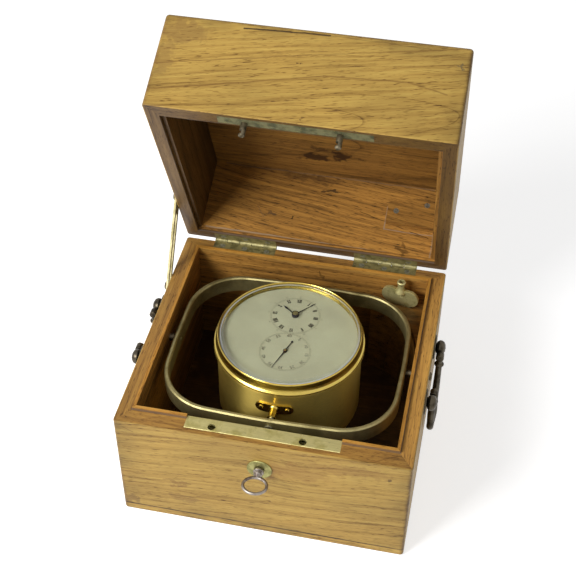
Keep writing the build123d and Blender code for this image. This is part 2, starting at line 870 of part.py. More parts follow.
def poise_crescent():
    """Metal left on the light side of the bowl's lower wall, so that the bowl hangs level."""
    low = bowl_low + bowl_bottom
    turn = radians(poise_bearing)
    bore = rod_z(ledge_bore - poise_shift + poise_lap, low - 1, low + poise_high + 1,
                 -poise_shift * cos(turn), -poise_shift * sin(turn))
    return rod_z(ledge_bore + 0.5, low - 0.5, low + poise_high) - bore


def bezel():
    """A cast ring, coved outside, with a ledge for the glass and a bore that clears the dial."""
    low, top = bowl_rim_z, bezel_top
    cove = bowl_flange_r - bezel_top_r
    points = [(bowl_bore, low), (bowl_flange_r, low), (bowl_flange_r, low + 1.1),
              (bezel_top_r + 0.4 * cove, low + 2.0), (bezel_top_r + 0.1 * cove, low + 3.8),
              (bezel_top_r, top - 0.7), (bezel_top_r - 0.5, top), (bezel_top_r - 0.8, top),
              (glass_r, top - 0.7), (glass_r, glass_low), (sight_r, glass_low),
              (sight_r, dial_top + dial_room), (bowl_bore, dial_top + dial_room)]
    return spun(points)


def glass():
    """A flat crystal with a broad bevel, held in the bezel."""
    top = glass_low + glass_thick
    return spun([(0, glass_low), (glass_r, glass_low), (glass_r, top - glass_bevel_deep),
                 (glass_r - glass_bevel_wide, top), (0, top)])


def dial():
    """The silvered plate on three feet, pierced for the arbors of the hands."""
    plate = rod_z(dial_r, dial_top - dial_thick, dial_top)
    foot_low = ledge_z + pillar_plate_thick
    for i in range(3):
        turn = radians(30 + 120 * i)
        x, y = dial_foot_ring * cos(turn), dial_foot_ring * sin(turn)
        plate += rod_z(dial_foot_r, foot_low, dial_top - dial_thick / 2, x, y)
    plate -= rod_z(pipe_r + 0.3, dial_top - 2, dial_top + 1, 0, hours_y)
    plate -= rod_z(arbor_r + 0.3, dial_top - 2, dial_top + 1, 0, seconds_y)
    return plate


def hand_place(y, z, angle):
    """A hand drawn along +Y from its hub is turned clockwise from twelve."""
    return Pos(0, y, z) * Rot(0, 0, -angle)


def hour_hand():
    """The pipe over the centre arbor, and a short hand with a leaf near its tip."""
    leaf_at = hour_reach - 4.2
    blade = make_face(Polyline((-0.42, 0), (-0.3, leaf_at), (-0.75, leaf_at + 1.4),
                               (-0.15, hour_reach - 0.6), (0, hour_reach),
                               (0.15, hour_reach - 0.6), (0.75, leaf_at + 1.4),
                               (0.3, leaf_at), (0.42, 0), close=True))
    blade = hand_place(hours_y, hour_hand_z, hour_angle) * extrude(blade, hand_thick)
    low = ledge_z + pillar_plate_thick + 0.2
    pipe = rod_z(pipe_r, low, hour_hand_z + hand_thick, 0, hours_y)
    boss = rod_z(collet_r, hour_hand_z - 0.2, hour_hand_z + hand_thick, 0, hours_y)
    wheel = rod_z(6.0, low, low + 0.9, 0, hours_y)
    bore = rod_z(arbor_r + arbor_clearance, low - 1, minute_hand_z, 0, hours_y)
    return blade + pipe + boss + wheel - bore


def minute_hand():
    """A slender hand on the centre arbor, with the collet that caps the pair."""
    leaf_at = minute_reach - 5.0
    blade = make_face(Polyline((-0.36, 0), (-0.16, leaf_at), (-0.4, leaf_at + 1.8),
                               (-0.08, minute_reach - 0.5), (0, minute_reach),
                               (0.08, minute_reach - 0.5), (0.4, leaf_at + 1.8),
                               (0.16, leaf_at), (0.36, 0), close=True))
    blade = hand_place(hours_y, minute_hand_z, minute_angle) * extrude(blade, hand_thick)
    low = hour_hand_z + hand_thick + hand_gap
    collet = rod_z(collet_r, low, minute_hand_z + hand_thick + collet_high, 0, hours_y)
    return blade + collet - rod_z(arbor_r, low - 1, minute_hand_z + 2, 0, hours_y)


def seconds_hand():
    """A long thin hand with a hub and a round counterpoise on its tail."""
    blade = make_face(Polyline((-0.3, 0), (-0.1, second_reach), (0.1, second_reach), (0.3, 0),
                               (0.16, -second_tail), (-0.16, -second_tail), close=True))
    blade = extrude(blade, hand_thick)
    dot = Pos(0, -second_tail, hand_thick / 2) * Cylinder(0.75, hand_thick)
    hub = Pos(0, 0, hand_thick / 2) * Cylinder(1.3, hand_thick + 0.3)
    hand = hand_place(seconds_y, second_hand_z, second_angle) * (blade + dot + hub)
    return hand - rod_z(arbor_r, second_hand_z - 1, second_hand_z + 1, 0, seconds_y)


# Movement

def mesh_distance(module, wheel, pinion):
    return module * (wheel + pinion) / 2


def third_place():
    """The third arbor lies where both of its meshes are in gear, to the right of the middle."""
    centre_gap = mesh_distance(train_module, centre_teeth, third_pinion_teeth)
    fourth_gap = mesh_distance(train_module, third_teeth, fourth_pinion_teeth)
    apart = hours_y - seconds_y
    along = (apart ** 2 + fourth_gap ** 2 - centre_gap ** 2) / (2 * apart)
    return sqrt(fourth_gap ** 2 - along ** 2), seconds_y + along


def fusee_place():
    gap = mesh_distance(great_module, great_teeth, centre_pinion_teeth)
    turn = radians(fusee_bearing)
    return gap * cos(turn), hours_y + gap * sin(turn)


def escape_place():
    """In gear with the fourth wheel, and a roller's reach from the balance staff."""
    gap = mesh_distance(fourth_module, fourth_teeth, escape_pinion_teeth)
    to_balance = escape_r + roller_r + 0.5
    dx, dy = balance_x, balance_y - seconds_y
    apart = sqrt(dx ** 2 + dy ** 2)
    along = (apart ** 2 + gap ** 2 - to_balance ** 2) / (2 * apart)
    turn = atan2(dy, dx) - acos(along / gap)
    return gap * cos(turn), seconds_y + gap * sin(turn)


def toothed(module, teeth, thick, z, place, toward):
    """A wheel or pinion with straight-flanked teeth, one of them pointing along toward."""
    pitch = module * teeth / 2
    tip, root = pitch + 0.8 * module, pitch - 1.0 * module
    step = 2 * pi / teeth
    points = []
    for tooth in range(teeth):
        middle = toward + tooth * step
        for radius, share in ((root, -0.28), (tip, -0.08), (tip, 0.08), (root, 0.28)):
            turn = middle + share * step
            points.append((radius * cos(turn), radius * sin(turn)))
    blank = extrude(make_face(Polyline(*points, close=True)), thick)
    return Pos(place[0], place[1], z) * blank


def bearing(start, end):
    return atan2(end[1] - start[1], end[0] - start[0])


def gap_toward(start, end, teeth):
    """The tooth angle that puts a gap of the driven wheel where its driver's tooth points."""
    return bearing(start, end) + pi / teeth


def arbor(place, z0, z1):
    """A spindle that turns in both plates."""
    return rod_z(arbor_r, z0, z1, place[0], place[1])


def crossings(place, module, teeth, z):
    """The windows cut from a train wheel, leaving a hub, four arms and a rim."""
    outer = module * teeth / 2 - crossing_rim
    low, high = z - 1, z + wheel_thick + 1
    band = rod_z(outer, low, high) - rod_z(crossing_hub, low - 1, high + 1)
    for i in range(2):
        band -= Pos(0, 0, z) * Rot(0, 0, 90 * i) * Box(2 * outer + 2, crossing_arm, 4 * (high - low))
    return Pos(place[0], place[1], 0) * band


def centre_wheel():
    """The arbor that carries the minute hand, its wheel and the fusee's pinion."""
    place = (0, hours_y)
    wheel = toothed(train_module, centre_teeth, wheel_thick, centre_wheel_z, place,
                    bearing(place, third_place()))
    wheel -= crossings(place, train_module, centre_teeth, centre_wheel_z)
    pinion = toothed(great_module, centre_pinion_teeth, pinion_thick + 1, great_wheel_z - 0.5,
                     place, gap_toward(place, fusee_place(), centre_pinion_teeth))
    low = top_plate_low + 0.6
    return wheel + pinion + arbor(place, low, minute_hand_z + hand_thick + 0.5)


def third_wheel():
    place = third_place()
    wheel = toothed(train_module, third_teeth, wheel_thick, third_wheel_z, place,
                    bearing(place, (0, seconds_y)))
    wheel -= crossings(place, train_module, third_teeth, third_wheel_z)
    pinion = toothed(train_module, third_pinion_teeth, pinion_thick, centre_wheel_z - 0.3,
                     place, gap_toward(place, (0, hours_y), third_pinion_teeth))
    return wheel + pinion + arbor(place, top_plate_low + 0.6, ledge_z + pivot_reach)


def fourth_wheel():
    place = (0, seconds_y)
    wheel = toothed(fourth_module, fourth_teeth, wheel_thick, fourth_wheel_z, place,
                    bearing(place, escape_place()))
    wheel -= crossings(place, fourth_module, fourth_teeth, fourth_wheel_z)
    pinion = toothed(train_module, fourth_pinion_teeth, pinion_thick, third_wheel_z - 0.5,
                     place, gap_toward(place, third_place(), fourth_pinion_teeth))
    return wheel + pinion + arbor(place, top_plate_low + 0.6, second_hand_z + hand_thick + 0.2)


def escape_wheel():
    """Fifteen raking teeth, locked and let go by the detent."""
    place = escape_place()
    points = []
    step = 2 * pi / escape_teeth
    root_r = escape_r - escape_tooth_deep
    for tooth in range(escape_teeth):
        turn = tooth * step
        points.append((escape_r * cos(turn), escape_r * sin(turn)))
        for share in (0.35, 0.9):
            root = turn + share * step
            points.append((root_r * cos(root), root_r * sin(root)))
    blank = extrude(make_face(Polyline(*points, close=True)), escape_thick)
    wheel = Pos(place[0], place[1], escape_wheel_z) * blank
    pinion = toothed(fourth_module, escape_pinion_teeth, pinion_thick, fourth_wheel_z - 0.4,
                     place, gap_toward(place, (0, seconds_y), escape_pinion_teeth))
    return wheel + pinion + arbor(place, top_plate_low + 0.6, ledge_z + pivot_reach)


def mainspring_barrel():
    """The closed drum that holds the mainspring, on its own arbor between the plates."""
    drum = spun([(arbor_r, barrel_low), (barrel_r, barrel_low), (barrel_r, barrel_low + 1),
                 (barrel_r - 0.5, barrel_low + 1), (barrel_r - 0.5, barrel_top - 1),
                 (barrel_r, barrel_top - 1), (barrel_r, barrel_top), (arbor_r, barrel_top)])
    drum = Pos(barrel_x, barrel_y, 0) * drum
    return drum + arbor((barrel_x, barrel_y), top_plate_low + 0.6, ledge_z + pivot_reach)


def fusee():
    """The great wheel under a stepped cone for the chain, with the squared winding arbor."""
    place = fusee_place()
    wheel = toothed(great_module, great_teeth, wheel_thick + 0.4, great_wheel_z, place,
                    bearing(place, (0, hours_y)))
    low = great_wheel_z + wheel_thick + 0.4
    step = (centre_wheel_z - 1.0 - low) / fusee_turns
    fall = (fusee_big_r - fusee_small_r) / fusee_turns
    cone = wheel
    for turn in range(fusee_turns):
        radius = fusee_big_r - turn * fall
        groove = Cone(radius, radius - 0.6, step)
        cone += Pos(place[0], place[1], low + (turn + 0.5) * step) * groove
    arbor_body = rod_z(1.4, top_plate_low - 1, low, *place)
    square = Pos(place[0], place[1], (winding_arbor_low + top_plate_low) / 2) * Box(
        winding_square, winding_square, top_plate_low - winding_arbor_low)
    return cone + arbor(place, low, ledge_z + pivot_reach) + arbor_body + square


def balance_wheel():
    """Cut bimetal rim on a crossbar, two weights, and the roller on its staff."""
    rim = rod_z(balance_r, balance_z, balance_z + 2.4) - rod_z(
        balance_r - 1.1, balance_z - 1, balance_z + 4)
    bar = Pos(0, 0, balance_z + 0.5) * Box(2 * balance_r - 1, 2.4, 1.0)
    gap = Rot(0, 0, 12) * Pos(0, 0, balance_z + 1) * Box(2 * balance_r + 4, 1.4, 6)
    rim = rim - gap + bar
    for sign in (-1, 1):
        turn = radians(105)
        rim += rod_z(1.9, balance_z - 0.2, balance_z + 2.6,
                     sign * (balance_r - 0.6) * cos(turn), sign * (balance_r - 0.6) * sin(turn))
    rim += rod_z(1.0, balance_z - 4.0, escape_wheel_z + 2.2)
    rim += rod_z(roller_r, escape_wheel_z - 0.1, escape_wheel_z + 0.9)
    rim += rod_z(pivot_r, balance_z - 5.3, ledge_z + pivot_reach)
    return Pos(balance_x, balance_y, 0) * rim


def balance_cock():
    """The bridge foot screwed to the top plate, reaching under the balance."""
    low = balance_z - 6.0
    turn = atan2(balance_y, balance_x) + pi / 2
    reach = balance_r + 5.6
    fx, fy = balance_x - reach * cos(turn), balance_y - reach * sin(turn)
    foot = rod_z(3.4, low, top_plate_low, fx, fy)
    arm = Pos((fx + balance_x) / 2, (fy + balance_y) / 2, low + 0.8) * Rot(
        0, 0, degrees(turn)) * Box(reach, 5.0, 1.6)
    eye = rod_z(3.2, low, low + 1.6, balance_x, balance_y)
    cock = foot + arm + eye
    return cock - rod_z(pivot_r + arbor_clearance, low - 1, low + 3, balance_x, balance_y)


def balance_spring():
    """The helical spring as a thin sleeve round the staff, from the cock's stud to the collet."""
    outer = roller_r + roller_room + 0.6
    sleeve = rod_z(outer, balance_z + 3.2, top_plate_low)
    sleeve -= rod_z(outer - 0.4, balance_z + 3.0, top_plate_low + 1)
    return Pos(balance_x, balance_y, 0) * sleeve


def detent():
    """A block on the top plate with the long thin blade that locks the escape wheel."""
    ex, ey = escape_place()
    high = top_plate_low + top_plate_thick
    root_x = ex - escape_r - 1.5
    y = ey - escape_r - 2.6
    half = detent_block_wide / 2
    top = escape_wheel_z + escape_thick + 0.6
    block = span_box(root_x - detent_block_long, root_x, y - half, y + half, high, top)
    blade = span_box(root_x - 0.1, root_x + detent_blade_long, y - 0.15, y + 0.15,
                     escape_wheel_z - 0.3, escape_wheel_z + escape_thick + 0.2)
    return block + blade


def arbor_places():
    return [(0, hours_y), third_place(), (0, seconds_y), escape_place(),
            (barrel_x, barrel_y)]


def pillar_places():
    return [(pillar_ring * cos(radians(a)), pillar_ring * sin(radians(a)))
            for a in pillar_bearings]


def pillar_plate():
    """The plate under the dial, resting on the bowl's ledge."""
    plate = rod_z(bowl_bore - 0.2, ledge_z, ledge_z + pillar_plate_thick)
    for x, y in arbor_places() + [fusee_place()]:
        plate -= rod_z(arbor_r + arbor_clearance, ledge_z - 1, ledge_z + 5, x, y)
    plate -= rod_z(pivot_r + arbor_clearance, ledge_z - 1, ledge_z + 2, balance_x, balance_y)
    return plate


def top_plate():
    plate = rod_z(top_plate_r, top_plate_low, top_plate_low + top_plate_thick)
    for x, y in arbor_places():
        plate -= rod_z(arbor_r + arbor_clearance, top_plate_low - 1, top_plate_low + 5, x, y)
    plate -= rod_z(1.4 + arbor_clearance, top_plate_low - 1, top_plate_low + 5, *fusee_place())
    plate -= rod_z(roller_r + roller_room, top_plate_low - 1, top_plate_low + 5,
                   balance_x, balance_y)
    return plate


def movement_pillars():
    low = top_plate_low + top_plate_thick
    profile = [(0, low), (pillar_r, low), (pillar_r, low + 2), (pillar_r * 0.7, low + 4),
               (pillar_r * 0.7, ledge_z - 4), (pillar_r, ledge_z - 2), (pillar_r, ledge_z),
               (0, ledge_z)]
    return [Pos(x, y, 0) * spun(profile) for x, y in pillar_places()]


def cover_stud_place():
    """Beside the winding hole, so that the cover swings in toward the middle."""
    x, y = fusee_place()
    away = bearing((0, 0), (x, y)) + pi / 2
    return x + cover_pivot * cos(away), y + cover_pivot * sin(away)


def cover_stud():
    """The riveted stud and its head, on which the dust cover turns."""
    low = bowl_low - cover_gap - cover_thick - cover_gap
    head = rod_z(cover_stud_r + 0.8, low - 0.7, low, *cover_stud_place())
    return head + rod_z(cover_stud_r, low, bowl_low + 0.5, *cover_stud_place())


def dust_cover():
    """A round shutter under the winding hole, turning on a stud in the bowl's bottom."""
    x, y = fusee_place()
    px, py = cover_stud_place()
    low = bowl_low - cover_gap - cover_thick
    disc = rod_z(cover_r, low, low + cover_thick, x, y)
    arm = Pos((x + px) / 2, (y + py) / 2, low + cover_thick / 2) * Rot(
        0, 0, degrees(bearing((x, y), (px, py)))) * Box(cover_pivot, 5.0, cover_thick)
    eye = rod_z(2.6, low, low + cover_thick, px, py)
    return disc + arm + eye - rod_z(cover_stud_r + pivot_clearance, low - 1, bowl_low, px, py)


# Winding key and the blocks

def winding_key():
    """Two thumb wings on a squared tube, drawn in the XZ plane and stood in its corner."""
    wings = Pos(-wing_x, wing_z) * Circle(wing_r) + Pos(wing_x, wing_z) * Circle(wing_r)
    heart = make_face(Polyline((-wing_x - 3.4, wing_z - 5.6), (0, wind_plate_low),
                               (wing_x + 3.4, wing_z - 5.6), (wing_x, wing_z + 3),
                               (-wing_x, wing_z + 3), close=True))
    eye = Pos(0, wing_z + 1.2) * Ellipse(2.0, 0.9)
    flat = extrude(wings + heart - eye, wind_plate_thick)
    plate = Pos(0, wind_plate_thick / 2, 0) * Rot(90, 0, 0) * flat
    foot = wing_z + 3.4
    stem = spun([(0, foot), (stem_foot_r, foot), (stem_foot_r, foot + 1.2),
                 (stem_r, foot + 4.5), (stem_r, stem_top - 2.2), (stem_lip_r, stem_top - 1.6),
                 (stem_lip_r, stem_top - 0.5), (stem_r, stem_top), (0, stem_top)])
    bore = Pos(0, 0, stem_top - 3) * Box(2 * stem_bore_half, 2 * stem_bore_half, 8)
    key = plate + stem - bore
    return winding_key_place() * key


def winding_key_place():
    return Pos(wind_key_x, wind_key_y, 0) * Rot(0, 0, wind_key_turn)


def key_block():
    """A corner post whose top is slotted for the winding key."""
    cut = sqrt(0.5) * (ring_corner + ring_room)
    cx, cy = ring_half_x - ring_corner, ring_half_y - ring_corner
    arc = ThreePointArc((cx + ring_corner + ring_room, cy + 4), (cx + cut, cy + cut),
                        (cx + 4, cy + ring_corner + ring_room))
    start, end = arc @ 0, arc @ 1
    corner = (inner_x, inner_back)
    outline = [arc, Line(end, (end.X, inner_back)), Line((end.X, inner_back), corner),
               Line(corner, (inner_x, start.Y)), Line((inner_x, start.Y), start)]
    block = Pos(0, 0, bottom_thick) * extrude(make_face(outline), block_top - bottom_thick)
    clear = block_slot_clear
    slot = Box(block_slot_long, wind_plate_thick + 2 * clear,
               2 * (block_top - wind_plate_low + clear))
    return block - winding_key_place() * Pos(0, 0, block_top) * slot


def lid_block():
    """A small block screwed to the lid's back wall, cut off aslant on top."""
    right = lid_inner_x
    points = [(lid_block_left, lid_z + lid_block_low), (right, lid_z + lid_block_low_right),
              (right, lid_z + lid_block_high_right), (lid_block_left, lid_z + lid_block_high)]
    face = make_face(Polyline(*points, close=True))
    block = Pos(0, lid_inner_back, 0) * Rot(90, 0, 0) * extrude(face, lid_block_thick)
    for place in lid_block_screw_places():
        block -= screw_envelope(place)
    return lid_at_rest(block)


def lid_block_screw_places():
    y = lid_inner_back - lid_block_thick
    return [Pos(x, y, lid_z + up) * Rot(90, 0, 0)
            for x, up in (lid_block_screw_a, lid_block_screw_b)]


# The assembly

def body_pieces():
    left_cuts = [pivot_hole(-1), stay_hole(stay_stud_y, stay_stud_z)]
    return {
        "bottom_board": bottom_board(),
        "front_board": body_wall("front", front_wall_cuts()),
        "back_board": body_wall("back", hinge_room("body")),
        "left_board": body_wall("left", left_cuts),
        "right_board": body_wall("right", [pivot_hole(1)]),
        "lock_faceplate": lock_faceplate(),
        "lock_case": lock_case(),
        "escutcheon": escutcheon(),
        "body_hinge_leaves": [hinge_leaf("body", c) for c in hinge_centres()],
        "hinge_pins": hinge_pins(),
        "body_hinge_screws": [wood_screw(s, body_screw_turn * i) for c in hinge_centres()
                              for i, s in enumerate(hinge_screws("body", c))],
        "handle_backplates": [handle_backplate(s, y) for s in (-1, 1)
                              for y in (-post_y, post_y)],
        "handle_posts": [handle_post(s, y) for s in (-1, 1) for y in (-post_y, post_y)],
        "gimbal_pivot_screws": [gimbal_pivot_screw(s) for s in (-1, 1)],
        "stay_stud": stay_pin(stay_stud_y, stay_stud_z),
        "key_block": key_block(),
    }


def lid_pieces():
    shut, _ = stay_geometry()
    stay_cut = stay_hole(*shut)
    block_cuts = [screw_envelope(p) for p in lid_block_screw_places()]
    plate_bed = span_box(strike_left, strike_right, strike_front, strike_back,
                         lid_z - 1, lid_z + strike_thick)
    return {
        "lid_front_board": lid_wall_board("front", [plate_bed]),
        "lid_back_board": lid_wall_board("back", hinge_room("lid") + block_cuts),
        "lid_left_board": lid_wall_board("left", [stay_cut]),
        "lid_right_board": lid_wall_board("right", []),
        "lid_top_panel": lid_top_panel(),
        "strike_plate": lid_at_rest(strike_plate()),
        "strike_studs": [lid_at_rest(strike_stud(x)) for x in stud_places()],
        "lid_hinge_leaves": [lid_at_rest(hinge_leaf("lid", c)) for c in hinge_centres()],
        "lid_hinge_screws": [lid_at_rest(wood_screw(s, lid_screw_turn * i)) for c in hinge_centres()
                             for i, s in enumerate(hinge_screws("lid", c))],
        "lid_block": lid_block(),
        "lid_block_screws": [lid_at_rest(wood_screw(p, block_screw_turn * (i + 1)))
                             for i, p in enumerate(lid_block_screw_places())],
        "stay_pivot_screw": lid_at_rest(stay_pin(*shut)),
    }


def moving_fittings():
    return {
        "stay_arm": stay_arm(),
        "lock_bolt": lock_bolt(),
        "lock_key": lock_key(),
        "left_bail": bail(-1),
        "right_bail": bail(1),
        "winding_key": winding_key(),
        "gimbal_ring": gimbal_ring(),
        "bowl_pivot_pins": [bowl_pivot_pin(s) for s in (-1, 1)],
    }


def bowl_pieces():
    return {
        "bowl_shell": bowl_shell(),
        "bowl_trunnions": [bowl_trunnion(s) for s in (-1, 1)],
        "trunnion_screws": trunnion_screws(),
        "bezel": bezel(),
        "glass": glass(),
        "dial": dial(),
        "hour_hand": hour_hand(),
        "minute_hand": minute_hand(),
        "seconds_hand": seconds_hand(),
        "pillar_plate": pillar_plate(),
        "top_plate": top_plate(),
        "movement_pillars": movement_pillars(),
        "mainspring_barrel": mainspring_barrel(),
        "fusee": fusee(),
        "centre_wheel": centre_wheel(),
        "third_wheel": third_wheel(),
        "fourth_wheel": fourth_wheel(),
        "escape_wheel": escape_wheel(),
        "detent": detent(),
        "balance_wheel": balance_wheel(),
        "balance_cock": balance_cock(),
        "balance_spring": balance_spring(),
        "dust_cover": dust_cover(),
    }


def main():
    os.makedirs("parts", exist_ok=True)
    pieces = {**body_pieces(), **lid_pieces(), **moving_fittings(), **bowl_pieces()}
    for node, shape in pieces.items():
        if isinstance(shape, list):
            shape = Compound(children=shape)
        export_step(shape, f"parts/{node}.step")


main()
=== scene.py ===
"""A marine timekeeper in its open box: the finishes, the finer pieces, the light and the camera."""
import json
import logging
from collections.abc import Sequence
from dataclasses import dataclass, field
from enum import Enum
from math import cos, pi, radians, sin

import bmesh
import bpy
from mathutils import Matrix, Vector

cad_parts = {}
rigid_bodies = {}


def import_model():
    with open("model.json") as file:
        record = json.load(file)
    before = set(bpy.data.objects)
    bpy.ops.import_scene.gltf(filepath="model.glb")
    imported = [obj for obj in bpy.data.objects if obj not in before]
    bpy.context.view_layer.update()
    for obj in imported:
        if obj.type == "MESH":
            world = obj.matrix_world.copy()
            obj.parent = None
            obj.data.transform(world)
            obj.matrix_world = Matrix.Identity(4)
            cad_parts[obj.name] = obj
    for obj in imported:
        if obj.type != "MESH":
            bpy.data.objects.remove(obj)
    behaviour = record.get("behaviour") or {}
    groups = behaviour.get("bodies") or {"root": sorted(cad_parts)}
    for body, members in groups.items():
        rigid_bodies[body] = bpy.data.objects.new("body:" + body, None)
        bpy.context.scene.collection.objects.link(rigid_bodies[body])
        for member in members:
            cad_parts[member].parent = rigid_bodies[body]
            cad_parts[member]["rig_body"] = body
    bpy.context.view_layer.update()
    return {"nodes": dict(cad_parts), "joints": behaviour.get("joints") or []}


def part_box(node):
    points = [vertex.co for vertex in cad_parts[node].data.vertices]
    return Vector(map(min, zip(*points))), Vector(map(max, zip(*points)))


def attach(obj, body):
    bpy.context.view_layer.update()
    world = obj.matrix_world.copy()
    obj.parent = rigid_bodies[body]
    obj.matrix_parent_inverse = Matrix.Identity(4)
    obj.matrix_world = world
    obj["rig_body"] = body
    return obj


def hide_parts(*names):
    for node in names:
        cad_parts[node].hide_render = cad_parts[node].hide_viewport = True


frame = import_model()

log = logging.getLogger("timekeeper")

MM = 0.001

# Edges that turn by less than this, in degrees, shade smooth.
EASY_CURVE = 35.0
CREASED = 10.0
ALL_SMOOTH = 180.0
# A radius below this, in millimetres, lies on the lathe's axis.
ON_AXIS = 1e-6
# A corner's curve takes up no more than this share of either side.
CORNER_SHARE = 0.45

Point = tuple[float, float]
Place = tuple[float, float, float]
Colour = tuple[float, float, float, float]
Socket = bpy.types.NodeSocket
Tree = bpy.types.NodeTree
Piece = bpy.types.Object


class Grain(Enum):
    """Which way the fibres of a board run, and how its own axes lie in the shut box."""

    WALL_ALONG_X = ("X", "Z", "Y")
    WALL_ALONG_Y = ("Y", "Z", "X")
    FLAT_ALONG_X = ("X", "Y", "Z")


# Colour and node helpers


def linear(hex_colour: str, alpha: float = 1.0) -> Colour:
    """Turns an sRGB hex colour into the linear values that shaders take.

    Args:
        hex_colour: Six hex digits with a leading #.
        alpha: Opacity, passed on unchanged.

    Returns:
        Linear red, green and blue, and the opacity.
    """
    parts = [int(hex_colour[i:i + 2], 16) / 255 for i in (1, 3, 5)]
    low = [p / 12.92 if p <= 0.04045 else ((p + 0.055) / 1.055) ** 2.4 for p in parts]
    return (low[0], low[1], low[2], alpha)


def add_node(tree: Tree, kind: str, inputs: dict | None = None,
             stops: Sequence[tuple[float, str]] = (), **settings) -> bpy.types.Node:
    """Adds a shader node with its settings, its input values and its links.

    Args:
        tree: The node tree that takes the node.
        kind: The node's type, without the ShaderNode prefix.
        inputs: Socket name or number to a value, or to the output socket that feeds it.
        stops: Positions and hex colours, for a colour ramp.
        **settings: Properties of the node itself.

    Returns:
        The new node.
    """
    node = tree.nodes.new("ShaderNode" + kind)
    for name, value in settings.items():
        setattr(node, name, value)
    for name, value in (inputs or {}).items():
        socket = node.inputs[name]
        if isinstance(value, Socket):
            tree.links.new(value, socket)
        else:
            socket.default_value = value
    for place, (position, colour) in enumerate(stops):
        elements = node.color_ramp.elements
        element = elements[place] if place < 2 else elements.new(position)
        element.position = position
        element.color = linear(colour)
    return node


def millimetres(tree: Tree) -> Socket:
    """Returns the shaded point's place in millimetres, in the row frame at rest."""
    place = add_node(tree, "TexCoord").outputs["Object"]
    return add_node(tree, "VectorMath", {0: place, "Scale": 1 / MM}, operation="SCALE").outputs[0]


def cloud(tree: Tree, place: Socket, scale: Place, low: float, high: float,
          to_low: float = 0.0, to_high: float = 1.0, detail: float = 3.0) -> Socket:
    """Returns soft noise of a real size, cut between two levels and spread over a range.

    Args:
        tree: The node tree.
        place: Where the noise is read, in millimetres.
        scale: One over the size of its patches along each axis, in millimetres.
        low: Noise level that gives to_low.
        high: Noise level that gives to_high.
        to_low: The lowest result.
        to_high: The highest result.
        detail: How many finer layers lie over the first.

    Returns:
        The socket with the result.
    """
    sized = add_node(tree, "Mapping", {"Vector": place, "Scale": scale}).outputs[0]
    noise = add_node(tree, "TexNoise", {"Vector": sized, "Scale": 1.0,
                                        "Detail": detail}).outputs["Fac"]
    return add_node(tree, "MapRange", {"Value": noise, "From Min": low, "From Max": high,
                                       "To Min": to_low, "To Max": to_high}).outputs[0]


def layered(tree: Tree, base: Socket | Colour,
            layers: Sequence[tuple[Socket, Socket | Colour]]) -> Socket:
    """Lays colours over a base colour, one after the other.

    Args:
        tree: The node tree.
        base: The colour below all.
        layers: The share, from 0 to 1, and the colour of each layer, the lowest first.

    Returns:
        The socket with the result.
    """
    for share, above in layers:
        base = add_node(tree, "Mix", {"Factor": share, "A": base, "B": above},
                        data_type="RGBA").outputs["Result"]
    return base


def folded(tree: Tree, operation: str, values: Sequence[Socket]) -> Socket:
    """Draws a row of values into one, such as the product or the greatest of all.

    Args:
        tree: The node tree.
        operation: What is done with each pair in turn.
        values: The row.

    Returns:
        The socket with the result.
    """
    result = values[0]
    for value in values[1:]:
        result = add_node(tree, "Math", {0: result, 1: value}, operation=operation).outputs[0]
    return result


def off_plane(tree: Tree, place: Socket, axis: str, level: float) -> Socket:
    """Measures how far a point lies from a plane that is square to one axis.

    Args:
        tree: The node tree.
        place: The point, in millimetres.
        axis: X, Y or Z.
        level: Where the plane stands on that axis, in millimetres.

    Returns:
        The socket with the distance, never below zero.
    """
    along = add_node(tree, "SeparateXYZ", {0: place}).outputs[axis]
    away = add_node(tree, "Math", {0: along, 1: level}, operation="SUBTRACT").outputs[0]
    return add_node(tree, "Math", {0: away}, operation="ABSOLUTE").outputs[0]


def bare_tree(owner: bpy.types.Material | bpy.types.World) -> Tree:
    """Switches on the nodes of a material or of the world, and clears them away.

    Args:
        owner: The material or the world.

    Returns:
        Its empty node tree.
    """
    owner.use_nodes = True
    owner.node_tree.nodes.clear()
    return owner.node_tree


def hinge_turn() -> tuple[Vector, float]:
    """Returns the lid hinge's place and the angle by which the lid stands open at rest."""
    joint = next(j for j in frame["joints"] if j["name"] == "lid_hinge")
    return Vector(joint["pos_m"]), radians(joint["range_deg"][1])


# Finishes


@dataclass(frozen=True)
class Finish:
    """One surface finish, built once as a node material and then shared."""

    name: str

    def build(self) -> bpy.types.Material:
        """Makes the finish into a node material when it is first asked for.

        Returns:
            The material, the same one for every piece in this finish.
        """
        material = bpy.data.materials.get(self.name)
        if material is None:
            material = bpy.data.materials.new(self.name)
            tree = bare_tree(material)
            add_node(tree, "OutputMaterial", {"Surface": self.shade(tree)})
        return material

    def shade(self, tree: Tree) -> Socket:
        """Builds the nodes and returns the surface output; each finish has its own."""
        raise NotImplementedError


@dataclass(frozen=True)
class Palette:
    """The colours of one side of a board as sRGB hex, from pale wood to open pores."""

    pale: str
    body: str
    late: str
    pore: str


OUTSIDE = Palette("#cba957", "#ba954a", "#8d6c30", "#523315")
RIM = Palette("#c09247", "#a67a3c", "#7b572b", "#49311a")
# Painted highlight: the dust lip's brighter palette stands for the light that catches its top edge.
LIP = Palette("#d6a04c", "#c48c3b", "#996728", "#643f18")
INSIDE = Palette("#c08c42", "#9b6e33", "#5f421d", "#24180c")


